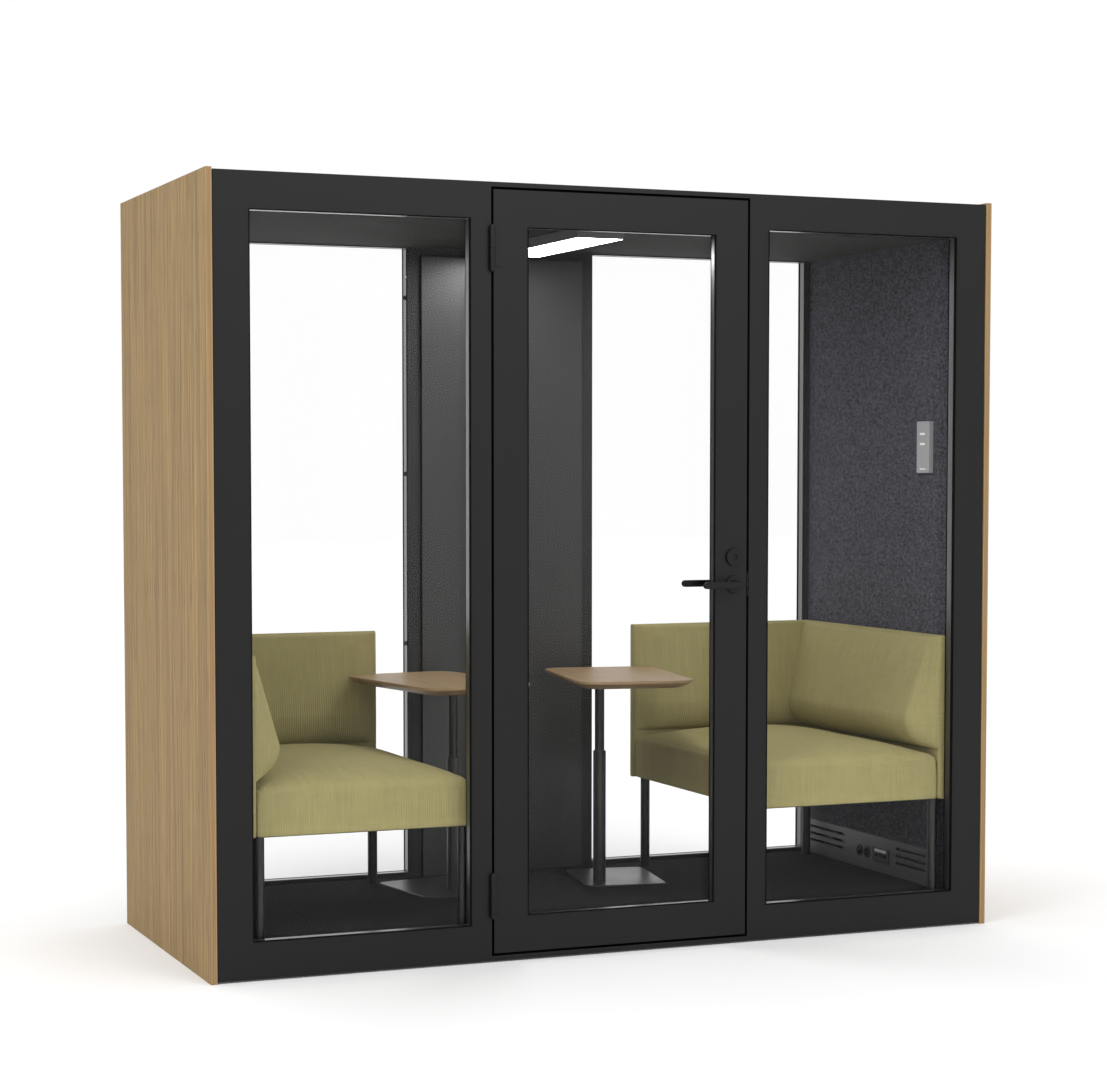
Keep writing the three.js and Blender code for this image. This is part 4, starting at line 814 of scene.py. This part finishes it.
class POD_OT_surrounds(bpy.types.Operator):
    """Lacquers the surrounds, the door and its hinges, and fits the glazing trim and buttons"""

    bl_idname = "pod.surrounds"
    bl_label = "Surrounds and Door Leaf"

    def execute(self, context):
        finishes, trim = context.scene.pod_finishes, context.scene.pod_trim
        lacquer = coated(finishes, "black_lacquer")
        # The back surround and its window tapes get the black lacquer painted lighter, which stands in for
        # more light on them.
        black_painted_lighter = coated(finishes, "charcoal_lacquer")
        coat(lacquer, "front_frame", "door_leaf")
        coat(black_painted_lighter, "back_frame")
        ease(trim.arris, "front_frame", "back_frame", "door_leaf")
        hinges = [f"hinge_{place}_{half}" for place in ("upper", "lower") for half in ("frame", "door")]
        coat(lacquer, *hinges)
        soften(trim.arris, *hinges)
        rubber = coated(finishes, "black_rubber")
        coat(rubber, "door_gasket")
        coat(rubber, "foot_front_left", "foot_front_right", "foot_back_left", "foot_back_right")
        openings = [("door", "door", DOOR_LIGHT["window"], DOOR_LIGHT, lacquer)]
        for label, side in SIDES:
            for wall, bay, finish in (("front", FRONT_BAY, lacquer), ("back", BACK_BAY, black_painted_lighter)):
                window = (sorted((side * bay["inner"], side * BAY_OUTER)), BAY_HEIGHTS)
                openings.append((f"{wall}_{label}", "pod", window, bay, finish))
            across = side * (BACK_BAY["inner"] + trim.channel)
            places = [(across, BUTTONS["y"], z) for z in BUTTONS["heights"]]
            heads(f"glazing_buttons_{label}", "pod", places, (side, 0, 0), trim.button, trim.button_height,
                  rubber)
        seal = coated(finishes, "bead_rubber")
        anodised = anodised_channel(finishes)
        for name, body, window, reveal, finish in openings:
            face, depth = reveal["face"], reveal["depth"]
            lined = depth * CHANNEL_SHARE
            ring(f"{name}_channel", body, window, face, lined, trim.channel, "black_metal", anodised)
            ring(f"{name}_bead", body, window, face + lined, depth - lined, trim.channel, "black_rubber",
                 seal)
            out = math.copysign(1.0, depth)
            lap = [(low - trim.lap, high + trim.lap) for low, high in window]
            ring(f"{name}_tape", body, lap, face - out * TAPE["behind"], -out * TAPE["thick"], trim.lap,
                 "black_lacquer", finish)
        return {"FINISHED"}


class POD_OT_glazing(bpy.types.Operator):
    """Makes the five panes clear"""

    bl_idname = "pod.glazing"
    bl_label = "Glazing"

    def execute(self, context):
        coat(clear_glass(), "front_glass_left", "front_glass_right", "back_glass_left", "back_glass_right",
             "door_glass")
        return {"FINISHED"}


class POD_OT_room(bpy.types.Operator):
    """Lines the walls with felt, lays the carpet and finishes the ceiling, lining and deck"""

    bl_idname = "pod.room"
    bl_label = "Room Linings"

    def execute(self, context):
        finishes = context.scene.pod_finishes
        coat(felt(finishes), "wall_panel_left", "wall_panel_right")
        coat(carpet_pile(finishes), "carpet")
        coat(coated(finishes, "satin_panel"), "back_lining_panel")
        coat(coated(finishes, "ceiling"), "roof_panel")
        coat(coated(finishes, "deck_board"), "floor_deck")
        ease(context.scene.pod_trim.arris, "back_lining_panel")
        return {"FINISHED"}


class POD_OT_door_set(bpy.types.Operator):
    """Finishes the lever set, lock and strike, and fits their screws"""

    bl_idname = "pod.door_set"
    bl_label = "Door Furniture"

    def execute(self, context):
        finishes, trim = context.scene.pod_finishes, context.scene.pod_trim
        furniture = ("rosette_outer", "rosette_inner", "lever_outer", "lever_inner", "lock_rosette",
                     "thumb_turn")
        coat(coated(finishes, "black_metal"), *furniture)
        soften(trim.arris, *furniture)
        steel = brushed_steel(finishes)
        coat(steel, "lock_case", "latch_bolt", "strike_plate", "spindle")
        ease(trim.arris * 0.4, "latch_bolt", "strike_plate")
        soften(trim.arris * 0.4, "lock_case")
        for name, body, facing, x, heights in LOCK_SCREWS:
            places = [(x, LOCK_LINE, z) for z in heights]
            heads(name, body, places, (facing, 0, 0), trim.screw, LOCK_SCREW_RISE, steel)
        return {"FINISHED"}


class POD_OT_luminaire(bpy.types.Operator):
    """Finishes the ceiling light and lights its diffuser"""

    bl_idname = "pod.luminaire"
    bl_label = "Ceiling Light"

    def execute(self, context):
        scene = context.scene
        coat(coated(scene.pod_finishes, "light_shell"), "led_housing")
        ease(scene.pod_trim.arris, "led_housing")
        coat(lit_opal(scene.pod_studio.luminaire), "led_diffuser")
        return {"FINISHED"}


class POD_OT_controls(bpy.types.Operator):
    """Finishes the wall control and its two buttons, and adds their pale marks"""

    bl_idname = "pod.controls"
    bl_label = "Wall Control"

    def execute(self, context):
        finishes, trim = context.scene.pod_finishes, context.scene.pod_trim
        pieces = ("control_housing", "control_button_upper", "control_button_lower")
        coat(coated(finishes, "silver_plastic"), *pieces)
        soften(trim.arris * 0.6, *pieces)
        pale = coated(finishes, "control_mark")
        half = Vector((0, BUTTON_MARK["half_width"], BUTTON_MARK["half_height"]))
        for label in ("upper", "lower"):
            low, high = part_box(f"control_button_{label}")
            near, far = (low + high) / 2 - half, (low + high) / 2 + half
            near.x, far.x = low.x - BUTTON_MARK["proud"], low.x + BUTTON_MARK["sunk"]
            tile(f"button_mark_{label}", f"button_{label}", near, far, pale)
        low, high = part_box("control_housing")
        line = CONTROL_LINE
        near = (low.x - line["half_depth"], low.y + line["margin"], low.z + line["low"])
        far = (low.x + line["half_depth"], high.y - line["margin"], low.z + line["high"])
        tile("control_line", "pod", near, far, pale)
        return {"FINISHED"}


class POD_OT_services(bpy.types.Operator):
    """Finishes the service panel, its outlets and the fan, and fits their screws and shutter"""

    bl_idname = "pod.services"
    bl_label = "Service Panel"

    def execute(self, context):
        finishes, trim = context.scene.pod_finishes, context.scene.pod_trim
        coat(coated(finishes, "grille_grey"), "grille_panel")
        plastic = coated(finishes, "black_plastic")
        coat(plastic, "socket_rear", "socket_front", "data_module", "fan_frame", "fan_rotor")
        ease(trim.arris * 0.5, "grille_panel", "data_module")
        soften(trim.arris * 0.5, "socket_rear", "socket_front")
        low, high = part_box("grille_panel")
        inset = PANEL_SCREW["inset"]
        depths, heights = (low.y + inset, high.y - inset), (low.z + inset, high.z - inset)
        corners = [(low.x, y, z) for y in depths for z in heights]
        heads("panel_screws", "pod", corners, (-1, 0, 0), trim.screw, PANEL_SCREW["rise"],
              plastic)
        low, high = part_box("data_module")
        near = (low.x - SHUTTER["proud"], low.y + SHUTTER["margin"], high.z - SHUTTER["low"])
        far = (low.x + SHUTTER["sunk"], high.y - SHUTTER["margin"], high.z - SHUTTER["high"])
        tile("port_shutter", "pod", near, far, coated(finishes, "port_shutter"))
        return {"FINISHED"}


class POD_OT_sofas(bpy.types.Operator):
    """Upholsters both sofas and coats their leg frames"""

    bl_idname = "pod.sofas"
    bl_label = "Sofas"

    def execute(self, context):
        scene = context.scene
        finishes, upholstery = scene.pod_finishes, scene.pod_upholstery
        fabric = ribbed_fabric(finishes, upholstery)
        inset = upholstery.inset / MM
        points, faces, clear = seat_form(inset)
        cushion("seat", points, faces, clear, upholstery, fabric)
        corner = SOFA["back"] - GAP
        run, depth, z, faces, clear = panel_form(BACK_PAD, SIDE_PAD, SOFA["front"], corner, inset)
        points = np.stack([SOFA["outer"] - depth, run, z], -1)
        cushion("backrest", points, faces, clear, upholstery, fabric)
        corner = SOFA["outer"] - GAP
        run, depth, z, faces, clear = panel_form(SIDE_PAD, BACK_PAD, SOFA["inner"], corner, inset)
        points = np.stack([run, SOFA["back"] - depth, z], -1)
        cushion("side_panel", points, faces, clear, upholstery, fabric)
        coat(coated(finishes, "leg_metal"), "sofa_left_leg_frame", "sofa_right_leg_frame")
        soften(scene.pod_trim.arris, "sofa_left_leg_frame", "sofa_right_leg_frame")
        return {"FINISHED"}


class POD_OT_tables(bpy.types.Operator):
    """Finishes the two lifting tables"""

    bl_idname = "pod.tables"
    bl_label = "Tables"

    def execute(self, context):
        scene = context.scene
        finishes = scene.pod_finishes
        metal = coated(finishes, "table_metal")
        plate = coated(finishes, "plate_metal")
        for label, turn in TABLE_TURNS:
            base, column, top = (f"table_{label}_{part}" for part in ("base", "column", "top"))
            coat(plate, base)
            coat(metal, column)
            coat(table_wood(f"table_wood_{label}", finishes.table, math.radians(-turn)), top)
            soften(scene.pod_trim.arris, base, column, top)
        return {"FINISHED"}


class POD_OT_studio(bpy.types.Operator):
    """Sets the floor, the light and the camera"""

    bl_idname = "pod.studio"
    bl_label = "Studio"

    def execute(self, context):
        scene = context.scene
        studio = scene.pod_studio
        scene.view_settings.view_transform = "Standard"
        self.lay_floor(studio)
        self.set_sky(scene, studio)
        self.hang_lamp(scene, "key", studio.key, **KEY_LAMP)
        self.hang_lamp(scene, "side", studio.side, **SIDE_LAMP)
        self.set_camera(scene, studio)
        return {"FINISHED"}

    def hang_lamp(self, scene, name, power, size, place, aim):
        """Round soft lamp at a place, turned to where it aims."""
        lamp = bpy.data.lights.new(name, "AREA")
        lamp.shape = "DISK"
        lamp.size = size
        lamp.energy = power
        hung = bpy.data.objects.new(name, lamp)
        hung.location = place
        hung.rotation_euler = (Vector(aim) - Vector(place)).to_track_quat("-Z", "Y").to_euler()
        scene.collection.objects.link(hung)

    def lay_floor(self, studio):
        """One large flat sheet under the pod. The camera sees it fade to white away from the pod's front."""
        corners = np.array([[-1.0, -1.0, 0.0], [1.0, -1.0, 0.0], [1.0, 1.0, 0.0], [-1.0, 1.0, 0.0]])
        floor = skin("studio_floor", corners * FLOOR["reach"], np.array([[0, 1, 2, 3]]), None)
        material, tree = new_finish("studio_floor")
        base = put(tree, "BsdfDiffuse", {"Color": linear(studio.floor)})
        place = put(tree, "TexCoord").outputs["Object"]
        away = put(tree, "VectorMath", {0: place, 1: FLOOR["middle"]}, operation="DISTANCE").outputs["Value"]
        fade = span(tree, away, studio.lift * FLOOR["near_share"], studio.lift, FLOOR["near"], FLOOR["far"])
        lift = put(tree, "Emission", {"Strength": worked(tree, "MULTIPLY", looked_at(tree), fade)})
        close(tree, put(tree, "AddShader", {0: base.outputs["BSDF"], 1: lift.outputs["Emission"]}).outputs[0])
        floor.data.materials.append(material)

    def set_sky(self, scene, studio):
        """White where the camera, gloss and glass look, and an even light elsewhere."""
        world = bpy.data.worlds.new("studio_sky")
        world.use_nodes = True
        tree = world.node_tree
        tree.nodes.clear()
        even = put(tree, "Background", {"Color": (1.0, 1.0, 1.0, 1.0), "Strength": studio.sky})
        white = put(tree, "Background", {"Color": (1.0, 1.0, 1.0, 1.0), "Strength": 1.0})
        mix = put(tree, "MixShader", {"Fac": looked_at(tree), 1: even.outputs[0], 2: white.outputs[0]})
        put(tree, "OutputWorld", {"Surface": mix.outputs[0]})
        scene.world = world

    def set_camera(self, scene, studio):
        """Camera at the height of a standing person, in front and to the left."""
        view = bpy.data.cameras.new("view")
        view.sensor_fit = "HORIZONTAL"
        view.sensor_width = VIEW["sensor"]
        view.lens = studio.lens
        view.shift_x, view.shift_y = VIEW["shift"]
        view.clip_end = VIEW["end"]
        camera = bpy.data.objects.new("view", view)
        camera.location = VIEW["place"]
        yaw, pitch = VIEW["yaw"], VIEW["pitch"]
        level = math.cos(pitch)
        forward = Vector((math.sin(yaw) * level, math.cos(yaw) * level, -math.sin(pitch)))
        camera.rotation_euler = forward.to_track_quat("-Z", "Y").to_euler()
        scene.collection.objects.link(camera)
        scene.camera = camera


STEPS = (POD_OT_cladding, POD_OT_surrounds, POD_OT_glazing, POD_OT_room, POD_OT_door_set, POD_OT_luminaire,
         POD_OT_controls, POD_OT_services, POD_OT_sofas, POD_OT_tables, POD_OT_studio)


class POD_PT_sidebar(bpy.types.Panel):
    """Lists the pod's settings and steps."""

    bl_label = "Acoustic Office Pod"
    bl_space_type = "VIEW_3D"
    bl_region_type = "UI"
    bl_category = "Pod"

    def draw(self, context):
        for name, kind in GROUPS.items():
            for setting in kind.__annotations__:
                self.layout.prop(getattr(context.scene, name), setting)
        for step in STEPS:
            self.layout.operator(step.bl_idname)


GROUPS = {"pod_finishes": PodFinishes, "pod_upholstery": PodUpholstery, "pod_trim": PodTrim,
          "pod_studio": PodStudio}


def register():
    for kind in (*GROUPS.values(), *STEPS, POD_PT_sidebar):
        bpy.utils.register_class(kind)
    for name, kind in GROUPS.items():
        setattr(bpy.types.Scene, name, PointerProperty(type=kind))


def unregister():
    for name in GROUPS:
        delattr(bpy.types.Scene, name)
    for kind in (POD_PT_sidebar, *STEPS[::-1], *GROUPS.values()):
        bpy.utils.unregister_class(kind)


def main():
    """Runs every step."""
    register()
    for step in STEPS:
        group, name = step.bl_idname.split(".")
        getattr(getattr(bpy.ops, group), name)()


if __name__ == "__main__":
    main()
